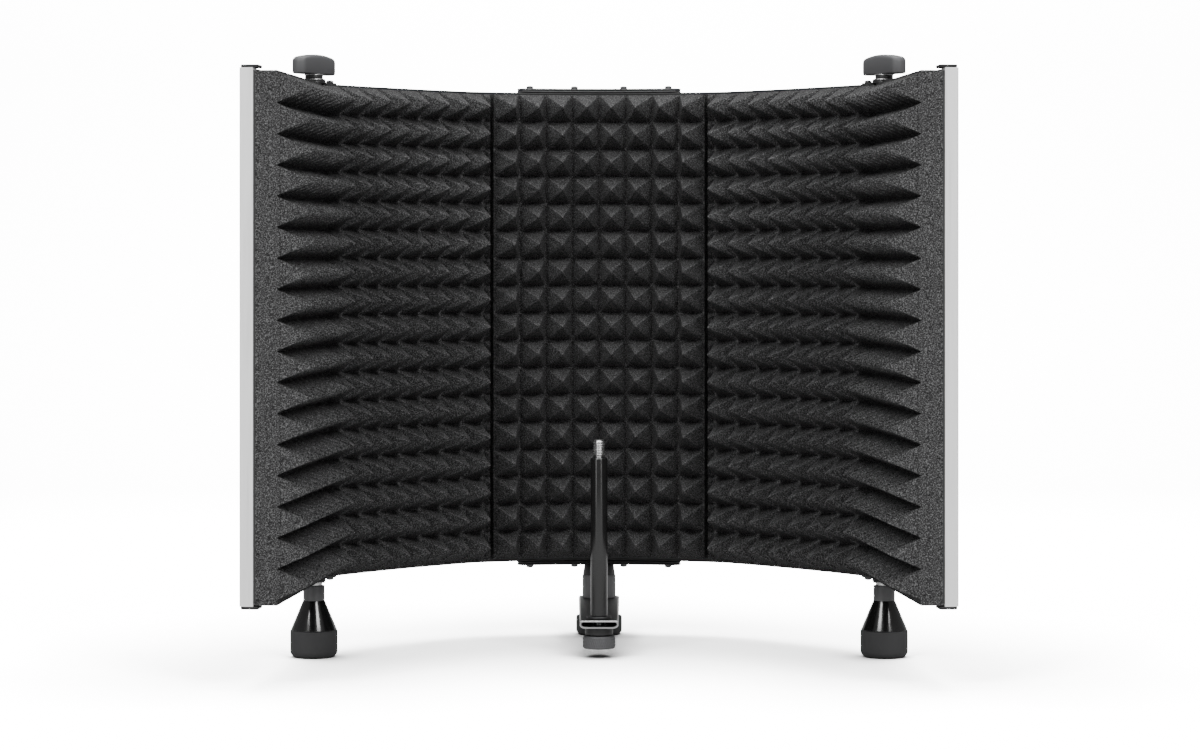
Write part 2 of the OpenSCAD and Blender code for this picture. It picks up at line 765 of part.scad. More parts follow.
main_sheet();
wing_sheet();  // left_wing_sheet
right() wing_sheet();  // right_wing_sheet
main_top_rail();
main_bottom_rail();
wing_rails();  // left_wing_rails
right() wing_rails();  // right_wing_rails
end_channel();  // left_end_channel
right() end_channel();  // right_end_channel
end_caps();  // left_end_caps
right() end_caps();  // right_end_caps
centre_foam_base();
centre_foam_pyramids();
mid_foam_base();  // left_mid_foam_base
mid_foam_pyramids();  // left_mid_foam_pyramids
right() mid_foam_base();  // right_mid_foam_base
right() mid_foam_pyramids();  // right_mid_foam_pyramids
wing_foam_base();  // left_wing_foam_base
wing_foam_pyramids();  // left_wing_foam_pyramids
right() wing_foam_base();  // right_wing_foam_base
right() wing_foam_pyramids();  // right_wing_foam_pyramids
top_bracket();
top_bracket_screws();
bottom_bracket();
bottom_bracket_screws();
main_leaves();  // left_main_leaves
wing_leaves();  // left_wing_leaves
right() main_leaves();  // right_main_leaves
right() wing_leaves();  // right_wing_leaves
main_leaf_screws();  // left_main_leaf_screws
wing_leaf_screws();  // left_wing_leaf_screws
right() main_leaf_screws();  // right_main_leaf_screws
right() wing_leaf_screws();  // right_wing_leaf_screws
knob();  // left_knob
knob_collar();  // left_knob_collar
knob_washers();  // left_knob_washers
right() knob();  // right_knob
right() knob_collar();  // right_knob_collar
right() knob_washers();  // right_knob_washers
foot();  // left_foot
foot_boot();  // left_foot_boot
foot_washers();  // left_foot_washers
right() foot();  // right_foot
right() foot_boot();  // right_foot_boot
right() foot_washers();  // right_foot_washers
column_boot();
column_hub();
column_sleeve();
column_cap();
column_stud();
arm();
post();
post_flange();
microphone_stud();
clamp_collar();
thumb_nut();
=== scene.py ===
"""Microphone isolation shield: the visual model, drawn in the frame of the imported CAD.

Sizes are millimetres and become metres in piece(). +X is right, +Y the rear, +Z up.
"behind" is a plan distance outwards from the bottom of the foam grooves.
"""
import json
import math

import bmesh
import bpy
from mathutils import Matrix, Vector, noise


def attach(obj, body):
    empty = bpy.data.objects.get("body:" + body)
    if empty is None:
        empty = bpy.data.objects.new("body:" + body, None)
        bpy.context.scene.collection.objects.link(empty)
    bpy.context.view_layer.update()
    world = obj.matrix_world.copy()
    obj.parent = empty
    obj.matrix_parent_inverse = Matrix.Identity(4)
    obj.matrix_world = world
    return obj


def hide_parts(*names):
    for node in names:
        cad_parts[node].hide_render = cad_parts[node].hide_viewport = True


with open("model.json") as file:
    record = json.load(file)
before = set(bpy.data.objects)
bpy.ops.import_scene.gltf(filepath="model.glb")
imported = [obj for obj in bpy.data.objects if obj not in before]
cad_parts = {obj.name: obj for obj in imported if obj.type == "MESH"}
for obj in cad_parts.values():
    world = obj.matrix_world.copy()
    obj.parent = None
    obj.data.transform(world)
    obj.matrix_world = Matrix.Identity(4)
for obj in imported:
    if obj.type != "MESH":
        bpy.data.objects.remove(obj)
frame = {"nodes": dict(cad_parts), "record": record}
noise.seed_set(5)
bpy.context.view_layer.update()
MM = 0.001
TURN = 2 * math.pi

# -------------------- driving dimensions, mm and degrees

CENTRE_RADIUS = 227
CENTRE_HALF_ANGLE = math.radians(24.1)
CENTRE_PITCH = 21.5
CENTRE_FORWARD = 21.8
MID_LENGTH = 175.4
MID_START_ANGLE = math.radians(39.9)
MID_END_ANGLE = math.radians(56.2)
SIDE_FOAM_ANGLE = math.radians(22.5)
WING_LENGTH = 176.1
WING_ANGLE = math.radians(84.8)

ROWS = 17
ROW_PITCH = 21.77
COLUMNS = 8
WING_COLUMNS = 8
PYRAMID_DEPTH = 23.8
PYRAMID_BACKING = 2
FOAM_THICKNESS = 15.4
FOAM_BOTTOM = 64.1
SIDE_FOAM_BELOW = 1.2
WING_FOAM_BELOW = 3.9
WING_FOAM_ABOVE = 1.2
FOAM_GAP = 0.5

PANEL_BOTTOM = 60
PANEL_TOP = 436.7
SHEET_THICKNESS = 1.4
RAIL_DEPTH = 10
RAIL_LIP = 12
RAIL_WALL = 1.4
MAIN_CUT_BACK = 21
WING_OVERHANG = 8
END_CHANNEL_LENGTH = 14
END_CHANNEL_OVER = 0.6
CAP_THICKNESS = 2.1
HOLE_PITCH = 9.0
HOLE_RADIUS = 2.7

HINGE = Vector((-217.2, -149.2))
CLAMP_STUD_RADIUS = 4
CLAMP_BORE_RADIUS = 4.08
BOSS_DEPTH = 2.4
KNOB_BOTTOM = 443.5
KNOB_HEIGHT = 15.2
KNOB_LENGTH = 45
KNOB_WIDTH = 12.5
KNOB_DOME = 3.5
KNOB_TURN = math.radians(57)
COLLAR_RADIUS = 6.85

FOOT_RADIUS = 18
BOOT_HEIGHT = 20.5
BOOT_CORNER = 5
BOOT_WALL = 4
BOOT_SOLE = 3
CONE_TOP = 42.5
NECK_RADIUS = 8.15
NECK_TOP = 54.5

BRACKET_THICKNESS = 3.6
BRACKET_HALF_WIDTH = 66
BRACKET_OVER = 0.6
COLUMN_BOOT_RADIUS = 18.5
COLUMN_BOOT_HEIGHT = 15.2
HUB_RADIUS = 11
HUB_FLANGE_RADIUS = 15
STAND_THREAD_RADIUS = 7.94
STAND_THREAD_DEPTH = 13
COLUMN_STUD_RADIUS = 3
COLUMN_RADIUS = 13.4
COLUMN_SHOULDER = 48
CAP_TOP_RADIUS = 11.8

ARM_BOTTOM = 23.4
ARM_HEIGHT = 6
ARM_WALL = 1.3
ARM_REAR = COLUMN_RADIUS + 1.5
ARM_REACH = 168
ARM_FRONT_WIDTH = 29.5
ARM_REAR_WIDTH = 33
ARM_SLOT_WIDTH = 8.16
POST_FORWARD = 153
POST_TRAVEL = 100
POST_RADIUS = 6.45
POST_BOTTOM = 31.4
POST_TOP = 151.9
STUD_RADIUS = 4.76
STUD_LENGTH = 13.7
THREAD_PITCH = 1.9
THREAD_DEPTH = 0.95
THUMB_NUT_RADIUS = 12.5
THUMB_NUT_BOTTOM = 7.2
THUMB_NUT_HEIGHT = 9.5

SHEET_FRONT = FOAM_THICKNESS
SHEET_BACK = SHEET_FRONT + SHEET_THICKNESS
RAIL_BACK = SHEET_BACK + RAIL_DEPTH
FOAM_TOP = FOAM_BOTTOM + ROWS * ROW_PITCH
MAIN_END = MID_LENGTH - MAIN_CUT_BACK
ARM_TOP = ARM_BOTTOM + ARM_HEIGHT

# -------------------- plan of the panels, left side


def along(angle):
    return Vector((-math.cos(angle), -math.sin(angle)))


def outward(angle):
    return Vector((-math.sin(angle), math.cos(angle)))


ARC_CENTRE = Vector((0, -CENTRE_FORWARD - CENTRE_RADIUS))
SEAM = ARC_CENTRE + CENTRE_RADIUS * outward(CENTRE_HALF_ANGLE)
MID_RADIUS = MID_LENGTH / (MID_END_ANGLE - MID_START_ANGLE)
MID_CENTRE = SEAM - MID_RADIUS * outward(MID_START_ANGLE)
CORNER = MID_CENTRE + MID_RADIUS * outward(MID_END_ANGLE)


def centre_at(angle, behind):
    return ARC_CENTRE + (CENTRE_RADIUS + behind) * outward(angle)


def mid_at(distance, behind):
    return MID_CENTRE + (MID_RADIUS + behind) * outward(MID_START_ANGLE + distance / MID_RADIUS)


def wing_at(distance, behind):
    return CORNER + distance * along(WING_ANGLE) + behind * outward(WING_ANGLE)


def mitre_at(point, first, second, behind):
    """A place on the mitre between two panels that meet at a point."""
    return point + behind / math.cos((second - first) / 2) * outward((first + second) / 2)


def seam_at(behind):
    return mitre_at(SEAM, CENTRE_HALF_ANGLE, MID_START_ANGLE, behind)


def corner_at(behind):
    return mitre_at(CORNER, MID_END_ANGLE, WING_ANGLE, behind)


def mirrored(point):
    return Vector((-point.x, point.y))


# -------------------- meshes

BODY_OF = {n: b for b, nodes in frame["record"]["behaviour"]["bodies"].items() for n in nodes}
SHARP_ANGLE = math.radians(35)


def add_object(name, data):
    obj = bpy.data.objects.new(name, data)
    bpy.context.scene.collection.objects.link(obj)
    return obj


def piece(name, mesh_data, material, nodes, mirror=False, bevel=0):
    """A visual piece in place of CAD nodes, riding on their body."""
    points, faces = mesh_data
    sign = -1 if mirror else 1
    mesh = bpy.data.meshes.new(name)
    mesh.from_pydata([(sign * p[0] * MM, p[1] * MM, p[2] * MM) for p in points], [], faces)
    tidy = bmesh.new()
    tidy.from_mesh(mesh)
    bmesh.ops.remove_doubles(tidy, verts=tidy.verts, dist=1e-6)
    bmesh.ops.recalc_face_normals(tidy, faces=tidy.faces)
    tidy.to_mesh(mesh)
    tidy.free()
    mesh.shade_smooth()
    mesh.set_sharp_from_angle(angle=SHARP_ANGLE)
    mesh.materials.append(material)
    obj = add_object(name, mesh)
    if bevel:
        soften_edges(obj, bevel)
    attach(obj, BODY_OF[nodes[0]])
    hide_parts(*nodes)
    return obj


def second_finish(obj, material, chosen, index=1):
    """Gives the chosen faces of a piece another material."""
    obj.data.materials.append(material)
    for face in obj.data.polygons:
        if chosen(face):
            face.material_index = index


def soften_edges(obj, width):
    bevel = obj.modifiers.new("soft_edges", "BEVEL")
    bevel.width = width * MM
    bevel.segments = 2
    bevel.limit_method = "ANGLE"
    bevel.angle_limit = math.radians(40)
    bevel.harden_normals = True


def both_sides(builder):
    """Calls a builder for the left side and again, mirrored, for the right."""
    for side, mirror in (("left", False), ("right", True)):
        builder(side, mirror)


def joined(*meshes):
    points, faces = [], []
    for more_points, more_faces in meshes:
        start = len(points)
        points += more_points
        faces += [tuple(i + start for i in face) for face in more_faces]
    return points, faces


def moved(mesh_data, x, y):
    points, faces = mesh_data
    return [(p[0] + x, p[1] + y, p[2]) for p in points], faces


def rounded(points, radius, steps=3, closed=True):
    """The outline with its corners rounded. An open outline keeps its two ends."""
    result = []
    count = len(points)
    for i, point in enumerate(points):
        if not closed and i in (0, count - 1):
            result.append(point)
            continue
        here = Vector(point)
        before = Vector(points[i - 1]) - here
        after = Vector(points[(i + 1) % count]) - here
        cut = min(radius, before.length * 0.45, after.length * 0.45)
        start = here + before.normalized() * cut
        end = here + after.normalized() * cut
        for k in range(steps + 1):
            t = k / steps
            result.append(tuple(start * (1 - t) ** 2 + here * 2 * t * (1 - t) + end * t * t))
    return result


def lathe(profile, segments=72, radius_at=None):
    """Turns (radius, height) points about Z. radius_at can change a radius with its angle and height."""
    points, rings = [], []
    for radius, height in profile:
        if radius == 0:
            rings.append([len(points)])
            points.append((0, 0, height))
            continue
        rings.append(list(range(len(points), len(points) + segments)))
        for k in range(segments):
            angle = TURN * k / segments
            r = radius_at(radius, angle, height) if radius_at else radius
            points.append((r * math.cos(angle), r * math.sin(angle), height))
    faces = []
    for low, high in zip(rings, rings[1:]):
        for k in range(segments):
            n = (k + 1) % segments
            if len(low) == 1:
                faces.append((low[0], high[n], high[k]))
            elif len(high) == 1:
                faces.append((low[k], low[n], high[0]))
            else:
                faces.append((low[k], low[n], high[n], high[k]))
    return points, faces


def skin(points, count, closed=False):
    """The faces between matched rows of count points; closed also joins the last row to the first."""
    rows = [range(start, start + count) for start in range(0, len(points), count)]
    faces = []
    for near, far in zip(rows, rows[1:] + rows[:1] if closed else rows[1:]):
        faces += [(near[i], near[(i + 1) % count], far[(i + 1) % count], far[i]) for i in range(count)]
    return faces


def capped_skin(points, count):
    """A skin over matched rows, with a face on the first row and on the last."""
    ends = [tuple(range(count)), tuple(range(len(points) - count, len(points)))]
    return skin(points, count) + ends


def tube(profile, segments=72):
    """Turns a closed (radius, height) outline about Z, for a ring."""
    points = []
    for k in range(segments):
        angle = TURN * k / segments
        points += [(r * math.cos(angle), r * math.sin(angle), z) for r, z in profile]
    return points, skin(points, len(profile), True)


def washer(inner, outer, low, high, soft=0.2, segments=72):
    return tube(rounded([(inner, low), (outer, low), (outer, high), (inner, high)], soft), segments)


def sweep(stations, profile):
    """Carries a closed (behind, height) profile past plan stations, with a flat cap at each end."""
    points = [(*station(behind), height) for station in stations for behind, height in profile]
    return points, capped_skin(points, len(profile))


def extruded(outline, low, high):
    """A plate from a closed (x, y) outline."""
    points = [(x, y, z) for z in (low, high) for x, y in outline]
    return points, capped_skin(points, len(outline))


def main_stations():
    """Stations along the main panel from its left end to its right end."""
    left = [lambda b, k=k: mid_at(MAIN_END * k / 12, b) for k in range(12, 0, -1)] + [seam_at]
    steps = 24
    arc = [lambda b, k=k: centre_at(CENTRE_HALF_ANGLE * (1 - 2 * k / steps), b) for k in range(1, steps)]
    right = [lambda b, f=f: mirrored(f(b)) for f in reversed(left)]
    return left + arc + right


# -------------------- materials


def new_material(name, colour, roughness, metallic=0.0, specular=0.5):
    material = bpy.data.materials.new(name)
    material.use_nodes = True
    shader = material.node_tree.nodes["Principled BSDF"]
    shader.inputs["Base Color"].default_value = (*colour, 1)
    shader.inputs["Roughness"].default_value = roughness
    shader.inputs["Metallic"].default_value = metallic
    shader.inputs["Specular IOR Level"].default_value = specular
    return material


def add_node(material, kind, **settings):
    node = material.node_tree.nodes.new(kind)
    for key, value in settings.items():
        if key in node.inputs:
            node.inputs[key].default_value = value
        else:
            setattr(node, key, value)
    return node


def link(material, source, output, target, name):
    material.node_tree.links.new(source.outputs[output], target.inputs[name])


def add_texture(material, kind, scale, stretch=(1, 1, 1), **settings):
    """A procedural texture in object coordinates, metres, with an optional stretch."""
    coordinates = add_node(material, "ShaderNodeTexCoord")
    mapping = add_node(material, "ShaderNodeMapping")
    mapping.inputs["Scale"].default_value = stretch
    texture = add_node(material, kind, **settings)
    texture.inputs["Scale"].default_value = scale
    link(material, coordinates, "Object", mapping, "Vector")
    link(material, mapping, "Vector", texture, "Vector")
    return texture


def add_bump(material, texture, output, distance):
    shader = material.node_tree.nodes["Principled BSDF"]
    bump = add_node(material, "ShaderNodeBump", Strength=1.0, Distance=distance)
    link(material, texture, output, bump, "Height")
    link(material, bump, "Normal", shader, "Normal")


def colour_from(material, texture, output, stops, target="Base Color"):
    """Drives a shader input by a texture through a ramp of (position, grey) stops."""
    shader = material.node_tree.nodes["Principled BSDF"]
    ramp = add_node(material, "ShaderNodeValToRGB")
    elements = ramp.color_ramp.elements
    while len(elements) < len(stops):
        elements.new(0.5)
    for element, (position, grey) in zip(elements, stops):
        element.position = position
        element.color = (grey, grey, grey * 1.01, 1)
    link(material, texture, output, ramp, "Fac")
    link(material, ramp, "Color", shader, target)
    return ramp


def foam_material(name, shade, with_painted_light=False):
    """Open-cell foam: a fine speckle, and on the pyramids painted highlights on the ridges and tips over
    painted shade in the grooves.
    """
    material = new_material(name, (shade, shade, shade), 1.0, specular=0.05)
    speckle = add_texture(material, "ShaderNodeTexNoise", 1150, Detail=2.0, Roughness=0.75)
    ramp = colour_from(material, speckle, "Fac",
                       [(0.34, 0.25 * shade), (0.5, 0.85 * shade), (0.66, 3.2 * shade)])
    if with_painted_light:
        # painted light: a per-point factor, low in the grooves and high on the tips and ridges, scales the
        # foam colour
        painted_light = add_node(material, "ShaderNodeAttribute", attribute_name="painted_light")
        painted_light_tint = add_node(material, "ShaderNodeVectorMath", operation="SCALE")
        link(material, ramp, "Color", painted_light_tint, "Vector")
        link(material, painted_light, "Fac", painted_light_tint, "Scale")
        link(material, painted_light_tint, "Vector", material.node_tree.nodes["Principled BSDF"], "Base Color")
    pores = add_texture(material, "ShaderNodeTexVoronoi", 1300)
    add_bump(material, pores, "Distance", 0.0006)
    return material


def grained_material(name, colour, roughness, specular, scale, depth):
    """A matt surface with a fine grain; depth is in metres."""
    material = new_material(name, colour, roughness, specular=specular)
    add_bump(material, add_texture(material, "ShaderNodeTexNoise", scale, Detail=2.0), "Fac", depth)
    return material


def painted_metal(name, grey, roughness):
    return grained_material(name, (grey, grey, grey * 1.03), roughness, 0.45, 2600, 0.00006)


def brushed_metal(name, grey, roughness, stretch, metallic=1.0):
    material = new_material(name, (grey, grey, grey), roughness, metallic)
    streaks = add_texture(material, "ShaderNodeTexNoise", 900, stretch, Detail=3.0)
    colour_from(material, streaks, "Fac", [(0.3, roughness * 0.75), (0.7, roughness * 1.3)], "Roughness")
    add_bump(material, streaks, "Fac", 0.00002)
    return material


def gloss_material(name, grey, roughness):
    material = new_material(name, (grey, grey, grey), roughness, specular=0.6)
    haze = add_texture(material, "ShaderNodeTexNoise", 160, Detail=2.0)
    colour_from(material, haze, "Fac", [(0.3, roughness * 0.8), (0.7, roughness * 1.25)], "Roughness")
    return material


FOAM = foam_material("charcoal_foam", 0.045, with_painted_light=True)
BASE_FOAM = foam_material("charcoal_base_foam", 0.05)
BLACK_COAT = painted_metal("black_powder_coat", 0.018, 0.42)
BRACKET_COAT = painted_metal("bracket_satin", 0.022, 0.34)
CAP_PLASTIC = painted_metal("cap_plastic", 0.007, 0.6)
ALUMINIUM = brushed_metal("satin_aluminium", 0.9, 0.5, (1, 1, 0.02), 0.55)
STEEL = brushed_metal("plated_steel", 0.62, 0.28, (1, 1, 1))
DARK_STEEL = brushed_metal("dark_plated_steel", 0.12, 0.35, (1, 1, 1))
CUT_EDGE = brushed_metal("bright_cut_edge", 0.5, 0.35, (1, 1, 1))
# painted highlight: a lighter grey for the arm's rounded upper shoulders
SHOULDER_HIGHLIGHT = brushed_metal("arm_shoulder_painted_highlight", 0.42, 0.4, (1, 0.02, 1))
ARM_COAT = painted_metal("arm_black_coat", 0.006, 0.5)
RUBBER = grained_material("matt_rubber", (0.035, 0.035, 0.036), 0.72, 0.3, 1800, 0.00008)
SOFT_TOUCH = grained_material("soft_touch_grey", (0.072, 0.072, 0.075), 0.5, 0.4, 2200, 0.00006)
CONE_GLOSS = gloss_material("gloss_black_cone", 0.006, 0.16)
POST_GLOSS = gloss_material("gloss_black_post", 0.010, 0.14)
# painted reflection: a lighter grey for upright black surfaces, standing in for the bright backdrop they
# reflect
REFLECTION_GREY = painted_metal("painted_reflection_grey", 0.075, 0.4)

# -------------------- foam

RING_LEVELS = (1, 0.955, 0.92, 0.892, 0.879, 0.866, 0.75, 0.55, 0.35, 0.18, 0.09, 0.035)
GLUE_LEVEL = 0.879
SIDE_POINTS = (-1, -0.9, -0.5, 0, 0.5, 0.9, 1)
RIDGE_POWER = 12
TIP_ROUND = 0.05
VALLEY_ROUND = 0.045
FOAM_GRAIN = 0.16
HALF_PYRAMID_STEP = 0.35


def pyramid_height(u, v):
    """Height of a pyramid from 0 at its valleys to 1 at its tip, with softened ridges, tip and valleys."""
    ridge = (abs(u) ** RIDGE_POWER + abs(v) ** RIDGE_POWER) ** (1 / RIDGE_POWER)
    ridge = min(ridge, 1)
    fall = (math.hypot(ridge, TIP_ROUND) - TIP_ROUND) / (math.hypot(1, TIP_ROUND) - TIP_ROUND)
    rise = 1 - fall
    return (math.hypot(rise, VALLEY_ROUND) - VALLEY_ROUND) / (math.hypot(1, VALLEY_ROUND) - VALLEY_ROUND)


def ring_corners(level, half):
    """One square ring of a pyramid as (u, v) points. A half pyramid's ring is open at u = 0."""
    sides = [p * level for p in SIDE_POINTS]
    if half:
        west = [p for p in sides if p <= 0]
        return (
            [(u, -level) for u in reversed(west)] + [(-level, v) for v in sides[1:-1]]
            + [(u, level) for u in west]
        )
    return (
        [(u, -level) for u in sides[:-1]] + [(level, v) for v in sides[:-1]]
        + [(u, level) for u in reversed(sides[1:])] + [(-level, v) for v in reversed(sides[1:])]
    )


class FoamMesh:
    """Points keyed by their place on the panel, so that neighbouring pyramids share them."""

    def __init__(self):
        self.index = {}
        self.places = []
        self.painted_light = []
        self.faces = []

    def point(self, distance, height, rise, on_ridge=False):
        key = (round(distance, 4), round(height, 4), round(rise, 4))
        if key not in self.index:
            part = max(0, rise) / PYRAMID_DEPTH
            self.index[key] = len(self.places)
            self.places.append(key)
            # painted light: this factor darkens the grooves and brightens the tips, most along the ridges
            self.painted_light.append(0.85 + (1.1 if on_ridge else 0.25) * part)
        return self.index[key]

    def face(self, *corners):
        unique = list(dict.fromkeys(corners))
        if len(unique) > 2:
            self.faces.append(tuple(unique))


def pyramid_places(edges, half_last):
    """Where each pyramid between the valleys has its middle, how far it reaches, and whether it is a half."""
    for left, right in zip(edges, edges[1:]):
        half = half_last and right == edges[-1]
        yield (right, right - left, True) if half else ((left + right) / 2, (right - left) / 2, False)


def pyramid_mesh(edges, below=0, above=0, half_last=False):
    """A layer of pyramids on a panel. edges are the distances of its valleys along the panel."""
    foam = FoamMesh()
    rows = [FOAM_BOTTOM + row * ROW_PITCH for row in range(ROWS + 1)]
    for middle, reach, half in pyramid_places(edges, half_last):
        for low, high in zip(rows, rows[1:]):
            add_pyramid(foam, middle, (low + high) / 2, reach, half)
    add_skirt(foam, edges, rows, below, above, half_last)
    return foam


def add_pyramid(foam, middle, height, reach, half):
    rings = []
    for level in RING_LEVELS:
        ring = []
        for u, v in ring_corners(level, half):
            rise = pyramid_height(u, v) * PYRAMID_DEPTH
            groove = -HALF_PYRAMID_STEP if half and u == 0 and level == GLUE_LEVEL else 0
            ring.append(foam.point(middle + u * reach + groove, height + v * ROW_PITCH / 2, rise,
                                   abs(u) == abs(v)))
        rings.append(ring)
    tip = foam.point(middle, height, PYRAMID_DEPTH, True)
    count = len(rings[0])
    sides = count - 1 if half else count
    for outer, inner in zip(rings, rings[1:]):
        for i in range(sides):
            j = (i + 1) % count
            foam.face(outer[i], outer[j], inner[j], inner[i])
        if half:
            foam.face(outer[0], inner[0], inner[-1], outer[-1])
    for i in range(sides):
        foam.face(rings[-1][i], rings[-1][(i + 1) % count], tip)
    if half:
        foam.face(rings[-1][0], tip, rings[-1][-1])


def pyramid_marks(edges, half_last):
    """The distances along the panel at which the outer rings of the pyramids have points."""
    marks = set()
    for middle, reach, half in pyramid_places(edges, half_last):
        marks |= {round(middle + p * reach, 4) for p in SIDE_POINTS if not half or p <= 0}
    return sorted(marks)


def add_skirt(foam, edges, rows, below, above, half_last):
    """The edges and the back of a pyramid layer, and the flat strips past its outer rows."""
    across = pyramid_marks(edges, half_last)
    up = pyramid_marks(rows, False)
    low_edge, high_edge = rows[0] - below, rows[-1] + above
    back = -PYRAMID_BACKING
    for height, outer in ((rows[0], low_edge), (rows[-1], high_edge)):
        for a, b in zip(across, across[1:]):
            if outer != height:
                strip = ((a, height), (b, height), (b, outer), (a, outer))
                foam.face(*(foam.point(d, h, 0) for d, h in strip))
            foam.face(foam.point(a, outer, 0), foam.point(b, outer, 0),
                      foam.point(b, outer, back), foam.point(a, outer, back))
    for a, b in zip(across[1:-1], across[2:-1]):
        foam.face(foam.point(a, low_edge, back), foam.point(b, low_edge, back),
                  foam.point(b, high_edge, back), foam.point(a, high_edge, back))
    right_up = rows if half_last else up
    for end, inner, heights in ((across[0], across[1], up), (across[-1], across[-2], right_up)):
        column = sorted({low_edge, high_edge, *heights})
        for a, b in zip(column, column[1:]):
            foam.face(foam.point(end, a, 0), foam.point(end, b, 0),
                      foam.point(end, b, back), foam.point(end, a, back))
        foam.face(foam.point(inner, low_edge, back), *(foam.point(end, h, back) for h in column),
                  foam.point(inner, high_edge, back))


def grained(place, height, amount):
    """A small smooth push that depends only on where the point is."""
    sample = noise.noise_vector(Vector((place.x, place.y, height)) * 0.35)
    return Vector((place.x, place.y, height)) + sample * amount


def foam_points(foam, at):
    """Panel places as points in space; at(distance, behind) gives the plan place."""
    points = []
    for distance, height, rise in foam.places:
        amount = 0 if rise < 0 else FOAM_GRAIN
        points.append(tuple(grained(at(distance, -rise), height, amount)))
    return points


def side_plan(distance, behind):
    """The side panel from the seam, where its foam turns on to the centre panel, to the corner."""
    if distance < -0.001:
        return centre_at(CENTRE_HALF_ANGLE + distance / CENTRE_RADIUS, behind)
    if behind > 0 and distance < 0.001:
        return seam_at(behind)
    if behind > 0 and distance > MID_LENGTH - 0.001:
        return corner_at(behind)
    return mid_at(distance, behind)


def wing_plan(distance, behind):
    """The wing, its backing cut to the mitre, with a gap to the side panel."""
    cut = max(0, behind) * math.tan((WING_ANGLE - MID_END_ANGLE) / 2)
    return wing_at(distance + (1 - distance / WING_LENGTH) * (FOAM_GAP - cut), behind)


CENTRE_FOAM_ANGLE = COLUMNS * CENTRE_PITCH / CENTRE_RADIUS / 2


def centre_plan(distance, behind):
    """The foam of the centre panel; distance runs along its valleys from its left end."""
    return centre_at(CENTRE_FOAM_ANGLE - distance / CENTRE_RADIUS, behind)


def pyramid_piece(name, foam, at, nodes, mirror=False):
    obj = piece(name, (foam_points(foam, at), foam.faces), FOAM, nodes, mirror)
    # the per-point painted light factor (highlight on tips and ridges, shade in grooves) goes on the mesh
    obj.data.attributes.new("painted_light", "FLOAT", "POINT").data.foreach_set("value", foam.painted_light)
    return obj


def foam_base(stations, low, high):
    profile = rounded(
        [(PYRAMID_BACKING, low), (FOAM_THICKNESS, low), (FOAM_THICKNESS, high), (PYRAMID_BACKING, high)], 0.9
    )
    return sweep(stations, profile)


def build_centre_foam():
    foam = pyramid_mesh([c * CENTRE_PITCH for c in range(COLUMNS + 1)])
    pyramid_piece("centre_pyramids", foam, centre_plan, ["centre_foam_pyramids"])
    stations = [lambda b, k=k: centre_plan(COLUMNS * CENTRE_PITCH * k / 24, b) for k in range(25)]
    piece("centre_base_layer", foam_base(stations, FOAM_BOTTOM, FOAM_TOP), BASE_FOAM, ["centre_foam_base"])


def cut_off(obj, point, way):
    """Cuts a mesh at a plane, drops what lies past it and closes the cut."""
    mesh = bmesh.new()
    mesh.from_mesh(obj.data)
    everything = [*mesh.verts, *mesh.edges, *mesh.faces]
    result = bmesh.ops.bisect_plane(mesh, geom=everything, plane_co=point, plane_no=way, clear_outer=True)
    rim = [item for item in result["geom_cut"] if isinstance(item, bmesh.types.BMEdge)]
    bmesh.ops.triangle_fill(mesh, edges=rim, use_beauty=True)
    bmesh.ops.recalc_face_normals(mesh, faces=mesh.faces)
    mesh.to_mesh(obj.data)
    mesh.free()


def build_mid_foam(side, mirror):
    """The last column turns round the seam, where the foam is cut off in line with the column's tips."""
    foam = pyramid_mesh([MID_LENGTH * c / COLUMNS for c in range(-1, COLUMNS + 1)], SIDE_FOAM_BELOW)
    pyramids = pyramid_piece(f"{side}_mid_pyramids", foam, side_plan, [f"{side}_mid_foam_pyramids"], mirror)
    valley = centre_at(SIDE_FOAM_ANGLE, 0)
    front = centre_at(SIDE_FOAM_ANGLE + math.radians(0.7), -PYRAMID_DEPTH / 3)
    sign = -1 if mirror else 1
    cut_off(pyramids, (sign * valley.x * MM, valley.y * MM, 0),
            (sign * (valley.y - front.y), front.x - valley.x, 0))
    stations = [lambda b: centre_at(SIDE_FOAM_ANGLE, b)]
    stations += [lambda b, k=k: side_plan(MID_LENGTH * k / 12, b) for k in range(13)]
    piece(f"{side}_mid_base_layer", foam_base(stations, FOAM_BOTTOM - SIDE_FOAM_BELOW, FOAM_TOP), BASE_FOAM,
          [f"{side}_mid_foam_base"], mirror)


def build_wing_foam(side, mirror):
    pitch = WING_LENGTH / (WING_COLUMNS + 0.5)
    edges = [c * pitch for c in range(WING_COLUMNS + 1)] + [WING_LENGTH]
    foam = pyramid_mesh(edges, WING_FOAM_BELOW, WING_FOAM_ABOVE, True)
    pyramids = pyramid_piece(f"{side}_wing_pyramids", foam, wing_plan, [f"{side}_wing_foam_pyramids"], mirror)
    cut_way = along(WING_ANGLE)
    sign = -1 if mirror else 1
    second_finish(pyramids, BASE_FOAM, lambda f: f.normal.x * sign * cut_way.x + f.normal.y * cut_way.y > 0.9)
    stations = [lambda b, k=k: wing_plan(WING_LENGTH * k / 8, b) for k in range(9)]
    low, high = FOAM_BOTTOM - WING_FOAM_BELOW, FOAM_TOP + WING_FOAM_ABOVE
    piece(f"{side}_wing_base_layer", foam_base(stations, low, high), BASE_FOAM,
          [f"{side}_wing_foam_base"], mirror)


# -------------------- sheets and rails


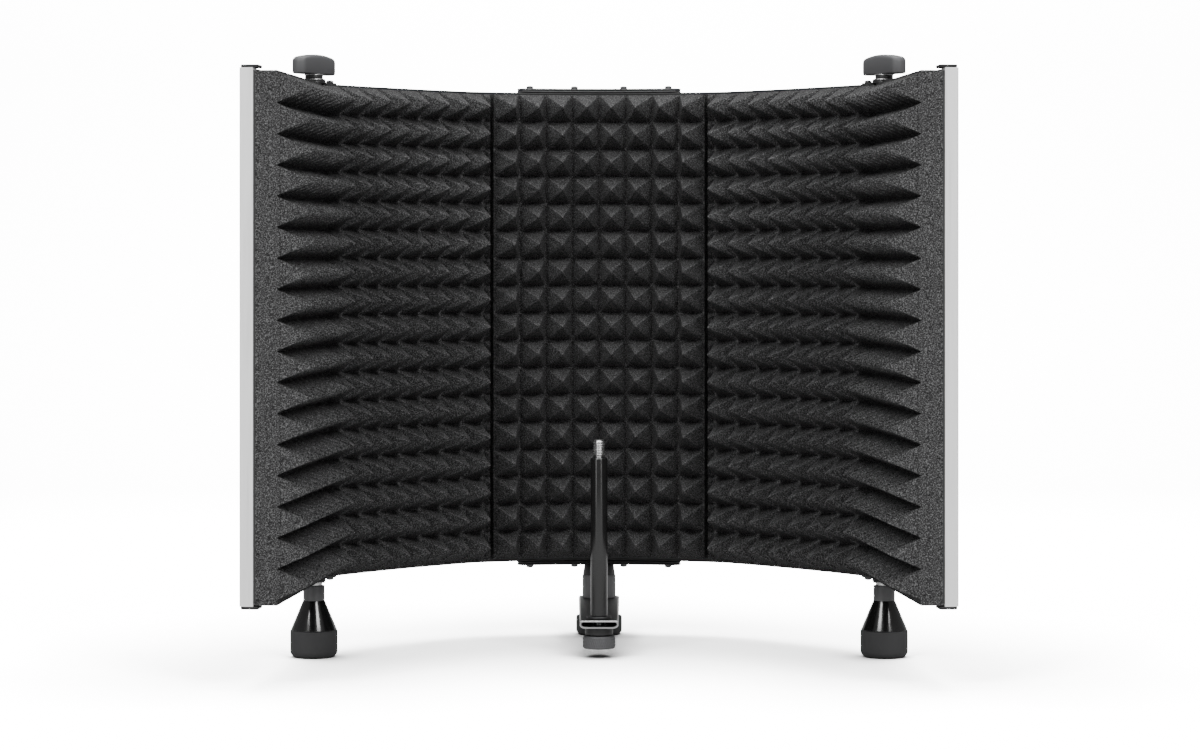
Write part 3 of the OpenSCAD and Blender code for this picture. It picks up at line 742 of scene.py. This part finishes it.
def perforated(length, at, low, high):
    """A sheet with staggered round holes. at(distance, behind) gives the plan place."""
    columns = round(length / HOLE_PITCH)
    rows = round((high - low) / HOLE_PITCH)
    wide, tall = length / columns, (high - low) / rows
    outline = [(1, 0), (1, 1), (0.5, 1), (0, 1), (-0.5, 1), (-1, 1), (-1, 0), (-1, -1), (-0.5, -1), (0, -1),
               (0.5, -1), (1, -1)]
    turns = [TURN * k / 12 for k in range(12)]
    points, faces = [], []

    def add_tile(middle, height, solid, left, right):
        rim = [(middle + max(left, min(right, u)) * wide / 2, height + v * tall / 2)
               for u, v in outline if left <= u <= right]
        start = len(points)
        for behind in (SHEET_FRONT, SHEET_BACK):
            points.extend(plan_point(at, distance, z, behind) for distance, z in rim)
        count = len(rim)
        if solid:
            faces.append(tuple(range(start, start + count)))
            faces.append(tuple(range(start + count, start + 2 * count)))
            return
        hole = len(points)
        circle = [(middle + HOLE_RADIUS * math.cos(a), height + HOLE_RADIUS * math.sin(a)) for a in turns]
        for behind in (SHEET_FRONT, SHEET_BACK):
            points.extend(plan_point(at, distance, z, behind) for distance, z in circle)
        for k in range(12):
            n = (k + 1) % 12
            faces.append((start + k, start + n, hole + n, hole + k))
            faces.append((start + 12 + k, start + 12 + n, hole + 12 + n, hole + 12 + k))
            faces.append((hole + k, hole + n, hole + 12 + n, hole + 12 + k))

    for row in range(rows):
        height = low + (row + 0.5) * tall
        border = row in (0, rows - 1)
        if row % 2 == 0:
            for column in range(columns):
                add_tile((column + 0.5) * wide, height, border or column in (0, columns - 1), -1, 1)
            continue
        add_tile(0, height, True, 0, 1)
        for column in range(1, columns):
            add_tile(column * wide, height, border, -1, 1)
        add_tile(length, height, True, -1, 0)
    add_sheet_edges(points, faces, length, at, low, high, columns, rows)
    return points, faces


def plan_point(at, distance, height, behind):
    return (*at(distance, behind), height)


def add_sheet_edges(points, faces, length, at, low, high, columns, rows):
    """Closes the four edges of a sheet, on the points that its tiles have there."""
    quarter = length / columns / 4
    across = [k * quarter for k in range(4 * columns + 1)]
    half = (high - low) / rows / 2
    up = [low + k * half for k in range(2 * rows + 1)]
    strips = [[(d, z) for d in across] for z in (low, high)] + [[(d, z) for z in up] for d in (0, length)]
    for strip in strips:
        for (d1, z1), (d2, z2) in zip(strip, strip[1:]):
            start = len(points)
            points.extend([
                plan_point(at, d1, z1, SHEET_FRONT), plan_point(at, d2, z2, SHEET_FRONT),
                plan_point(at, d2, z2, SHEET_BACK), plan_point(at, d1, z1, SHEET_BACK),
            ])
            faces.append((start, start + 1, start + 2, start + 3))


MID_STRETCH = (MID_RADIUS + SHEET_FRONT) / MID_RADIUS
SEAM_CUT = SHEET_FRONT * math.tan((MID_START_ANGLE - CENTRE_HALF_ANGLE) / 2)
SIDE_ARC = MAIN_END * MID_STRETCH + SEAM_CUT
HALF_ARC = CENTRE_HALF_ANGLE * (CENTRE_RADIUS + SHEET_FRONT)


def main_plan(distance, behind):
    """The main sheet from its left end; distance is measured at the sheet's front."""
    from_middle = distance - SIDE_ARC - HALF_ARC
    if abs(from_middle) <= HALF_ARC:
        return centre_at(-from_middle / (CENTRE_RADIUS + SHEET_FRONT), behind)
    place = mid_at((abs(from_middle) - HALF_ARC - SEAM_CUT) / MID_STRETCH, behind)
    return mirrored(place) if from_middle > 0 else place


SHEET_LOW = PANEL_BOTTOM + RAIL_WALL
SHEET_HIGH = PANEL_TOP - RAIL_WALL


def build_main_sheet():
    piece("main_perforated_sheet", perforated(2 * (SIDE_ARC + HALF_ARC), main_plan, SHEET_LOW, SHEET_HIGH),
          BLACK_COAT, ["main_sheet"])


def build_wing_sheet(side, mirror):
    sheet = perforated(WING_OVERHANG + WING_LENGTH, lambda d, b: wing_at(d - WING_OVERHANG, b),
                       SHEET_LOW, SHEET_HIGH)
    piece(f"{side}_perforated_sheet", sheet, BLACK_COAT, [f"{side}_wing_sheet"], mirror)


def rail_profile(top):
    """An angle section with softened corners: the plate lies on the sheet, the lip hangs behind it."""
    outer = PANEL_TOP if top else PANEL_BOTTOM
    inner = outer - RAIL_WALL if top else outer + RAIL_WALL
    lip = outer - RAIL_LIP if top else outer + RAIL_LIP
    return rounded([
        (SHEET_FRONT, outer), (RAIL_BACK, outer), (RAIL_BACK, lip),
        (RAIL_BACK - RAIL_WALL, lip), (RAIL_BACK - RAIL_WALL, inner), (SHEET_FRONT, inner),
    ], 0.5)


def build_main_rails():
    for place in ("top", "bottom"):
        rail = sweep(main_stations(), rail_profile(place == "top"))
        piece(f"main_rail_{place}", rail, BLACK_COAT, [f"main_{place}_rail"])


def build_wing_rails(side, mirror):
    stations = [lambda b, d=d: wing_at(d, b) for d in (-WING_OVERHANG, WING_LENGTH - END_CHANNEL_LENGTH)]
    mesh_data = joined(sweep(stations, rail_profile(True)), sweep(stations, rail_profile(False)))
    piece(f"{side}_wing_rail_pair", mesh_data, BLACK_COAT, [f"{side}_wing_rails"], mirror)


def on_wing(outline):
    """A wing's (distance, behind) outline as plan points."""
    return [tuple(wing_at(distance, behind)) for distance, behind in outline]


def build_end_channel(side, mirror):
    """A channel that closes the cut end of the wing: a flat face with two returns, softly rounded."""
    start, finish = WING_LENGTH - END_CHANNEL_LENGTH, WING_LENGTH + 0.6
    front, back = SHEET_BACK + 0.05, RAIL_BACK - 0.2
    outline = [(start, front), (finish, front), (finish, back), (start, back), (start, back - 1.2),
               (finish - 1.4, back - 1.2), (finish - 1.4, front + 1.2), (start, front + 1.2)]
    low, high = PANEL_BOTTOM - END_CHANNEL_OVER, PANEL_TOP + END_CHANNEL_OVER
    piece(f"{side}_end_profile", extruded(on_wing(rounded(outline, 0.7)), low, high), ALUMINIUM,
          [f"{side}_end_channel"], mirror)


def build_end_caps(side, mirror):
    start, finish = WING_LENGTH - END_CHANNEL_LENGTH - 1, WING_LENGTH + 0.9
    front, back = SHEET_FRONT - 2.4, RAIL_BACK - 0.9
    plan = on_wing(rounded([(start, front), (finish, front), (finish, back), (start, back)], 2.2, 5))
    high = PANEL_TOP + END_CHANNEL_OVER
    low = PANEL_BOTTOM - END_CHANNEL_OVER - CAP_THICKNESS
    plates = joined(extruded(plan, high, high + CAP_THICKNESS), extruded(plan, low, low + CAP_THICKNESS))
    piece(f"{side}_end_cap_pair", plates, CAP_PLASTIC, [f"{side}_end_caps"], mirror, bevel=0.6)


# -------------------- brackets, hinges, knobs and feet


def bracket_outline(inset):
    end_radius = (RAIL_BACK - SHEET_FRONT) / 2 + BRACKET_OVER
    half_width = end_radius - inset
    middle = CENTRE_RADIUS + (RAIL_BACK + SHEET_FRONT) / 2
    half_angle = math.asin((BRACKET_HALF_WIDTH - end_radius) / middle)
    steps = 20
    places = [centre_at(half_angle * (2 * k / steps - 1), middle + half_width - CENTRE_RADIUS)
              for k in range(steps + 1)]
    for side in (1, -1):
        end = centre_at(side * half_angle, middle - CENTRE_RADIUS)
        start = half_angle if side > 0 else math.pi - half_angle
        places += [end + half_width * outward(start + math.pi * k / 12) for k in range(1, 12)]
        if side > 0:
            places += [centre_at(half_angle * (1 - 2 * k / steps), middle - half_width - CENTRE_RADIUS)
                       for k in range(steps + 1)]
    return places


def bracket_mesh(low):
    """A bar with a groove along its edge and softened corners, as a stack of matched outlines."""
    levels = [(1.6, 0), (0.7, 0.15), (0.15, 0.5), (0, 1.0), (0.3, 1.35), (0.5, 1.8), (0.3, 2.25),
              (0, 2.6), (0.15, 3.1), (0.7, 3.45), (1.6, 3.6)]
    points = [(p.x, p.y, low + height) for inset, height in levels for p in bracket_outline(inset)]
    return points, capped_skin(points, len(points) // len(levels))


def build_brackets():
    for place, low in (("top", PANEL_TOP), ("bottom", PANEL_BOTTOM - BRACKET_THICKNESS)):
        piece(f"{place}_bracket_bar", bracket_mesh(low), BRACKET_COAT, [f"{place}_bracket"])


def knob_outline(inset):
    """The oblong plan of a knob, from its right tip round the far side to its left tip and back."""
    reach, radius = (KNOB_LENGTH - KNOB_WIDTH) / 2, KNOB_WIDTH / 2 - inset
    turns = [math.pi / 2 * k / 10 for k in range(11)]
    far = [(reach + radius * math.cos(a), radius * math.sin(a)) for a in turns]
    far += [(reach * (1 - k / 8), radius) for k in range(1, 16)]
    far += [(-reach - radius * math.sin(a), radius * math.cos(a)) for a in turns]
    return far + [(x, -y) for x, y in reversed(far[1:-1])]


def knob_mesh():
    """An oblong knob: a stack of rounded outlines under a domed top."""
    dome_radius = (KNOB_LENGTH ** 2 / 4 + KNOB_DOME ** 2) / (2 * KNOB_DOME)
    levels = [(1.2, 0, 0), (0.3, 0, 0.5), (0, 0, 1.6), (0, 1, -3.0), (0.25, 1, -1.7),
              (0.9, 1, -0.75), (2.0, 1, -0.2), (3.8, 1, 0)]
    turn_x, turn_y = math.cos(KNOB_TURN), math.sin(KNOB_TURN)
    points = []
    for inset, on_dome, offset in levels:
        for x, y in knob_outline(inset):
            dome = math.sqrt(dome_radius ** 2 - x * x) - dome_radius + KNOB_HEIGHT
            z = KNOB_BOTTOM + offset + (dome if on_dome else 0)
            points.append((x * turn_x - y * turn_y, x * turn_y + y * turn_x, z))
    count = len(points) // len(levels)
    faces = [tuple(range(count))] + skin(points, count)
    top = range(len(points) - count, len(points))
    faces += [(top[i], top[i + 1], top[count - i - 1], top[-i]) for i in range(1, count // 2 - 1)]
    faces += [(top[0], top[1], top[-1]), (top[count // 2 - 1], top[count // 2], top[count // 2 + 1])]
    return points, faces


def at_hinge(mesh_data):
    return moved(mesh_data, HINGE.x, HINGE.y)


def build_knob(side, mirror):
    low = PANEL_TOP - BOSS_DEPTH
    stud = lathe([(0, low), (CLAMP_STUD_RADIUS - 0.8, low), (CLAMP_STUD_RADIUS, low + 0.8),
                  (CLAMP_STUD_RADIUS, KNOB_BOTTOM + 1), (0, KNOB_BOTTOM + 1)], 32)
    piece(f"{side}_oblong_knob", at_hinge(joined(knob_mesh(), stud)), SOFT_TOUCH, [f"{side}_knob"], mirror)
    collar = washer(CLAMP_BORE_RADIUS, COLLAR_RADIUS, KNOB_BOTTOM - 3.1, KNOB_BOTTOM - 0.6, 0.5)
    piece(f"{side}_knob_collar_ring", at_hinge(collar), BLACK_COAT, [f"{side}_knob_collar"], mirror)
    rim = COLLAR_RADIUS + 1.7
    flared = tube(rounded([(CLAMP_BORE_RADIUS, KNOB_BOTTOM - 4.2), (rim, KNOB_BOTTOM - 4.2),
                           (rim, KNOB_BOTTOM - 3.7), (COLLAR_RADIUS, KNOB_BOTTOM - 3.1),
                           (CLAMP_BORE_RADIUS, KNOB_BOTTOM - 3.1)], 0.15))
    thin = washer(CLAMP_BORE_RADIUS, COLLAR_RADIUS + 0.4, KNOB_BOTTOM - 0.6, KNOB_BOTTOM)
    piece(f"{side}_knob_washer_pair", at_hinge(joined(flared, thin)), STEEL, [f"{side}_knob_washers"], mirror)


def build_foot(side, mirror):
    turns = [math.pi * k / 20 for k in range(11)]
    low_edge = [(FOOT_RADIUS - BOOT_CORNER * (1 - math.sin(a)), BOOT_CORNER * (1 - math.cos(a)))
                for a in turns]
    core, sole = FOOT_RADIUS - BOOT_WALL, BOOT_SOLE
    boot = [(0, 0)] + low_edge + [(FOOT_RADIUS, BOOT_HEIGHT - 0.7), (FOOT_RADIUS - 0.2, BOOT_HEIGHT - 0.2)]
    inner = [(FOOT_RADIUS - 0.7, BOOT_HEIGHT), (core, BOOT_HEIGHT), (core, sole), (0, sole)]
    piece(f"{side}_boot", at_hinge(lathe(boot + inner, 96)), RUBBER, [f"{side}_foot_boot"], mirror)
    cone = rounded([(0, sole), (core, sole), (core, BOOT_HEIGHT),
                    (FOOT_RADIUS - 0.4, BOOT_HEIGHT + 0.2), (NECK_RADIUS + 0.3, CONE_TOP),
                    (NECK_RADIUS, CONE_TOP + 0.6)], 0.6, 4, closed=False)
    stud_top = PANEL_BOTTOM + BOSS_DEPTH
    neck = rounded([(NECK_RADIUS, CONE_TOP + 0.8), (NECK_RADIUS, NECK_TOP), (CLAMP_STUD_RADIUS, NECK_TOP),
                    (CLAMP_STUD_RADIUS, stud_top), (0, stud_top)], 0.5, 3, closed=False)
    foot = piece(f"{side}_foot_cone", at_hinge(lathe(cone + neck, 96)), CONE_GLOSS, [f"{side}_foot"], mirror)
    # painted reflection: the neck, the same black as the cone, is given a lighter grey for the backdrop
    # reflected in its side
    second_finish(foot, REFLECTION_GREY, lambda f: f.center.z > (CONE_TOP + 0.5) * MM)
    nut = washer(CLAMP_BORE_RADIUS, 6.4, NECK_TOP, NECK_TOP + 2, 0.3)
    plate = washer(CLAMP_BORE_RADIUS, 8.4, NECK_TOP + 2, NECK_TOP + 2.8)
    piece(f"{side}_foot_washer_pair", at_hinge(joined(nut, plate)), STEEL, [f"{side}_foot_washers"], mirror)


# -------------------- column


def build_column():
    radius, high = COLUMN_BOOT_RADIUS, COLUMN_BOOT_HEIGHT
    boot = rounded([(HUB_RADIUS, 0), (radius - 2.5, 0), (radius, 2.5), (radius, high), (HUB_RADIUS, high)],
                   1.4, 5)
    piece("column_rubber_boot", tube(boot, 96), RUBBER, ["column_boot"])
    hub = rounded([(COLUMN_STUD_RADIUS, STAND_THREAD_DEPTH), (STAND_THREAD_RADIUS, STAND_THREAD_DEPTH),
                   (STAND_THREAD_RADIUS, 0), (HUB_RADIUS, 0), (HUB_RADIUS, high), (HUB_FLANGE_RADIUS, high),
                   (HUB_FLANGE_RADIUS, ARM_BOTTOM), (COLUMN_STUD_RADIUS, ARM_BOTTOM)], 0.3)
    piece("column_thread_hub", tube(hub), BLACK_COAT, ["column_hub"])
    sleeve = washer(COLUMN_STUD_RADIUS, COLUMN_RADIUS, ARM_TOP, COLUMN_SHOULDER, 0.7, 96)
    # painted reflection: the sleeve is given a lighter grey than the black cap, for the backdrop reflected in
    # its upright side
    piece("column_sleeve_painted_reflection", sleeve, REFLECTION_GREY, ["column_sleeve"])
    top = PANEL_BOTTOM - BRACKET_THICKNESS
    cap = rounded([(COLUMN_STUD_RADIUS, COLUMN_SHOULDER), (COLUMN_RADIUS - 0.3, COLUMN_SHOULDER),
                   (CAP_TOP_RADIUS, top), (COLUMN_STUD_RADIUS, top)], 0.5)
    piece("column_taper_cap", tube(cap, 96), BLACK_COAT, ["column_cap"])
    low, high = STAND_THREAD_DEPTH + 1, PANEL_BOTTOM + 4
    stud = rounded([(0, low), (COLUMN_STUD_RADIUS, low), (COLUMN_STUD_RADIUS, high), (0, high)], 0.4,
                   closed=False)
    piece("column_steel_stud", lathe(stud, 32), STEEL, ["column_stud"])


# -------------------- arm and post


def arm_section(inset):
    """The flat tube's section as (side, offset, height): softened above, cut back further below."""
    points = []
    for side, up, start in ((1, -1, -0.25), (1, 1, 0), (-1, 1, 0.25), (-1, -1, 0.5)):
        wide, tall = (1.6, 1.6) if up > 0 else (4.6, 2.8)
        tall = min(tall, ARM_HEIGHT / 2 - inset)
        for k in range(7):
            angle = TURN * (start + 0.25 * k / 6)
            points.append((side, wide * math.cos(angle) - side * (wide + inset),
                           up * (ARM_HEIGHT / 2 - inset - tall) + tall * math.sin(angle)))
    return points


def arm_ring(y, inset):
    part = (ARM_REAR - y) / (ARM_REAR + ARM_REACH)
    width = ARM_REAR_WIDTH + part * (ARM_FRONT_WIDTH - ARM_REAR_WIDTH)
    middle = ARM_BOTTOM + ARM_HEIGHT / 2
    return [(side * width / 2 + offset, y, middle + up) for side, offset, up in arm_section(inset)]


def arm_mesh():
    """Outer and inner walls of the flat tube, joined by rings at both ends."""
    stations = [(ARM_REAR, 0), (-ARM_REACH + 0.3, 0), (-ARM_REACH, 0.3), (-ARM_REACH, ARM_WALL - 0.2),
                (-ARM_REACH + 0.3, ARM_WALL), (ARM_REAR, ARM_WALL)]
    points = [p for y, inset in stations for p in arm_ring(y, inset)]
    return points, skin(points, len(points) // len(stations), True)


def slot_cutter():
    """A tall oblong body that cuts the slot through both faces of the arm."""
    radius = ARM_SLOT_WIDTH / 2
    near, far = -(POST_FORWARD - POST_TRAVEL - 1), -(POST_FORWARD + 6)
    outline = [(radius * math.cos(math.pi * k / 16), near + radius * math.sin(math.pi * k / 16))
               for k in range(17)]
    outline += [(-x, near + far - y) for x, y in outline]
    points, faces = extruded(outline, ARM_BOTTOM - 5, ARM_TOP + 5)
    mesh = bpy.data.meshes.new("slot_cutter")
    mesh.from_pydata([tuple(c * MM for c in p) for p in points], [], faces)
    return add_object("slot_cutter", mesh)


def build_arm():
    arm = piece("slotted_arm", arm_mesh(), ARM_COAT, ["arm"])
    second_finish(arm, CUT_EDGE, lambda f: f.center.y < (-ARM_REACH + 0.5) * MM)
    # painted highlight: faces turned up and outwards on the rounded shoulders get the lighter grey
    second_finish(arm, SHOULDER_HIGHLIGHT, lambda f: f.normal.z > 0.05 and abs(f.normal.x) > 0.3, 2)
    cutter = slot_cutter()
    cut = arm.modifiers.new("slot", "BOOLEAN")
    cut.operation = "DIFFERENCE"
    cut.object = cutter
    cut.solver = "EXACT"
    bpy.context.view_layer.update()
    evaluated = arm.evaluated_get(bpy.context.evaluated_depsgraph_get())
    arm.data = bpy.data.meshes.new_from_object(evaluated)
    arm.modifiers.clear()
    bpy.data.objects.remove(cutter)


def at_post(mesh_data):
    return moved(mesh_data, 0, -POST_FORWARD)


def thread_radius(radius, angle, height):
    """A triangular thread between the stud's root and its crest."""
    if radius < STUD_RADIUS:
        return radius
    phase = (height / THREAD_PITCH - angle / TURN) % 1
    depth = abs(phase - 0.5) * 2
    to_end = min(POST_TOP + STUD_LENGTH - 0.9 - height, height - POST_TOP - 1.6)
    fade = min(1, max(0, to_end / 0.8))
    return radius - THREAD_DEPTH * (1 - fade + fade * depth)


def build_post():
    shape = rounded([(0, POST_BOTTOM), (POST_RADIUS, POST_BOTTOM), (POST_RADIUS, POST_TOP - 0.8),
                     (POST_RADIUS - 0.8, POST_TOP), (0, POST_TOP)], 0.35, 4, closed=False)
    low = THUMB_NUT_BOTTOM - 1
    clamp = rounded([(0, low), (CLAMP_STUD_RADIUS, low), (CLAMP_STUD_RADIUS, POST_BOTTOM), (0, POST_BOTTOM)],
                    0.4, closed=False)
    piece("gloss_post", at_post(joined(lathe(shape, 96), lathe(clamp, 40))), POST_GLOSS, ["post"])
    rows = 96
    levels = [(STUD_RADIUS, POST_TOP + 0.4 + k * (STUD_LENGTH - 0.9) / rows) for k in range(rows + 1)]
    root = [(0, POST_TOP - 2), (3.4, POST_TOP - 2), (3.4, POST_TOP + 0.3)]
    tip = [(3.2, POST_TOP + STUD_LENGTH - 0.1), (0, POST_TOP + STUD_LENGTH)]
    piece("threaded_stud", at_post(lathe(root + levels + tip, 64, thread_radius)), STEEL,
          ["microphone_stud"])
    flange = washer(CLAMP_STUD_RADIUS, 9.5, ARM_TOP + 0.1, POST_BOTTOM, 0.5)
    piece("post_flange_ring", at_post(flange), BLACK_COAT, ["post_flange"])
    collar = washer(CLAMP_STUD_RADIUS, 10.65, ARM_BOTTOM - 6, ARM_BOTTOM - 0.1, 0.8)
    piece("clamp_collar_ring", at_post(collar), BLACK_COAT, ["clamp_collar"])


def knurl_radius(radius, angle, height):
    """A diagonal knurl on the rim of the thumb nut."""
    if radius < THUMB_NUT_RADIUS:
        return radius
    ribs = 44
    ridge = (math.sin(ribs * angle + height * 1.3) + math.sin(ribs * angle - height * 1.3)) / 2
    return radius - 0.22 + 0.22 * ridge


def build_thumb_nut():
    low, high = THUMB_NUT_BOTTOM, THUMB_NUT_BOTTOM + THUMB_NUT_HEIGHT
    rim = [(THUMB_NUT_RADIUS, low + 0.8 + k * (THUMB_NUT_HEIGHT - 1.6) / 20) for k in range(21)]
    edge = THUMB_NUT_RADIUS - 0.9
    profile = [(CLAMP_BORE_RADIUS, low), (edge, low)] + rim
    profile += [(edge, high), (CLAMP_BORE_RADIUS, high), (CLAMP_BORE_RADIUS, low)]
    piece("knurled_thumb_nut", at_post(lathe(profile, 264, knurl_radius)), SOFT_TOUCH, ["thumb_nut"])


# -------------------- CAD pieces that stay


def finish_cad_nodes():
    """Screws and hinge leaves keep their CAD shape, with softened edges and their own finish."""
    for name, obj in frame["nodes"].items():
        if obj.hide_render:
            continue
        obj.data.materials.clear()
        obj.data.materials.append(DARK_STEEL if "screws" in name else BRACKET_COAT)
        obj.modifiers.new("weld", "WELD").merge_threshold = 1e-6
        soften_edges(obj, 0.25)


# -------------------- stage


def stage_material():
    """White paper, lifted for the camera alone so that it prints white while it lights the object softly. For
    the camera, an ambient-occlusion factor also paints a soft contact shadow on the paper under and around
    the object.
    """
    material = bpy.data.materials.new("white_paper")
    material.use_nodes = True
    nodes = material.node_tree.nodes
    nodes.remove(nodes["Principled BSDF"])
    paper = add_node(material, "ShaderNodeBsdfDiffuse")
    # painted shadow: ambient occlusion darkens the paper near the object, for camera rays only
    painted_contact_shadow = add_node(material, "ShaderNodeAmbientOcclusion", samples=16, Distance=0.3)
    shade = add_node(material, "ShaderNodeMath", operation="POWER")
    shade.inputs[1].default_value = 1.8
    print_white = add_node(material, "ShaderNodeMath", operation="MULTIPLY")
    print_white.inputs[1].default_value = 9.0
    path = add_node(material, "ShaderNodeLightPath")
    lift = add_node(material, "ShaderNodeMix")
    lift.inputs["A"].default_value = 0.5
    link(material, painted_contact_shadow, "AO", shade, 0)
    link(material, shade, "Value", print_white, 0)
    link(material, path, "Is Camera Ray", lift, "Factor")
    link(material, print_white, "Value", lift, "B")
    link(material, lift, "Result", paper, "Color")
    link(material, paper, "BSDF", nodes["Material Output"], "Surface")
    return material


def build_floor():
    """A pale floor that curves up into a backdrop behind the object."""
    mesh = bpy.data.meshes.new("floor")
    depth, rise, wide, bend = 1.6, 3.2, 5.0, 0.6
    outline = [(-5.5, 0), (depth, 0)]
    outline += [(depth + bend * math.sin(math.pi * k / 24), bend * (1 - math.cos(math.pi * k / 24)))
                for k in range(1, 13)]
    outline.append((depth + bend, rise))
    points = [(x, y, z) for y, z in outline for x in (-wide, wide)]
    faces = [(2 * k, 2 * k + 1, 2 * k + 3, 2 * k + 2) for k in range(len(outline) - 1)]
    mesh.from_pydata(points, [], faces)
    mesh.shade_smooth()
    mesh.materials.append(stage_material())
    return add_object("floor", mesh)


def add_light(name, place, target, size, power, size_y=None):
    data = bpy.data.lights.new(name, "AREA")
    data.energy = power
    data.size = size
    if size_y:
        data.shape = "RECTANGLE"
        data.size_y = size_y
    light = add_object(name, data)
    light.location = place
    light.rotation_euler = (Vector(target) - Vector(place)).to_track_quat("-Z", "Y").to_euler()


def build_lights():
    world = bpy.data.worlds.new("soft_white")
    world.use_nodes = True
    world.node_tree.nodes["Background"].inputs["Color"].default_value = (1, 1, 1, 1)
    world.node_tree.nodes["Background"].inputs["Strength"].default_value = 0.32
    bpy.context.scene.world = world
    add_light("overhead", (0, -0.15, 1.9), (0, -0.15, 0.2), 1.2, 26, 0.9)
    for side, x in (("left", -1.15), ("right", 1.15)):
        add_light(f"key_{side}", (x, -2.2, 2.0), (0, -0.15, 0.25), 0.8, 54, 0.9)
    add_light("left_glow", (-1.7, -2.2, 0.5), (0, -0.15, 0.15), 0.5, 5, 1.0)
    add_light("right_strip", (1.2, -2.3, 0.6), (0, -0.15, 0.15), 0.14, 4, 1.4)
    add_light("backdrop", (0, 0.7, 2.3), (0, 2.2, 0.7), 3.0, 60, 1.0)


def build_camera():
    """The photographer's view: level, from straight in front, with the lens shifted down."""
    data = bpy.data.cameras.new("camera")
    data.sensor_width = 36
    data.lens = 96
    data.shift_x = 0.0008
    data.shift_y = -0.0967
    camera = add_object("camera", data)
    camera.location = (0, -2.587, 0.303)
    camera.rotation_euler = (math.pi / 2, 0, 0)
    bpy.context.scene.camera = camera


# -------------------- build

build_centre_foam()
both_sides(build_mid_foam)
both_sides(build_wing_foam)
build_main_sheet()
both_sides(build_wing_sheet)
build_main_rails()
both_sides(build_wing_rails)
both_sides(build_end_channel)
both_sides(build_end_caps)
build_brackets()
both_sides(build_knob)
both_sides(build_foot)
build_column()
build_arm()
build_post()
build_thumb_nut()
finish_cad_nodes()
build_floor()
build_lights()
build_camera()
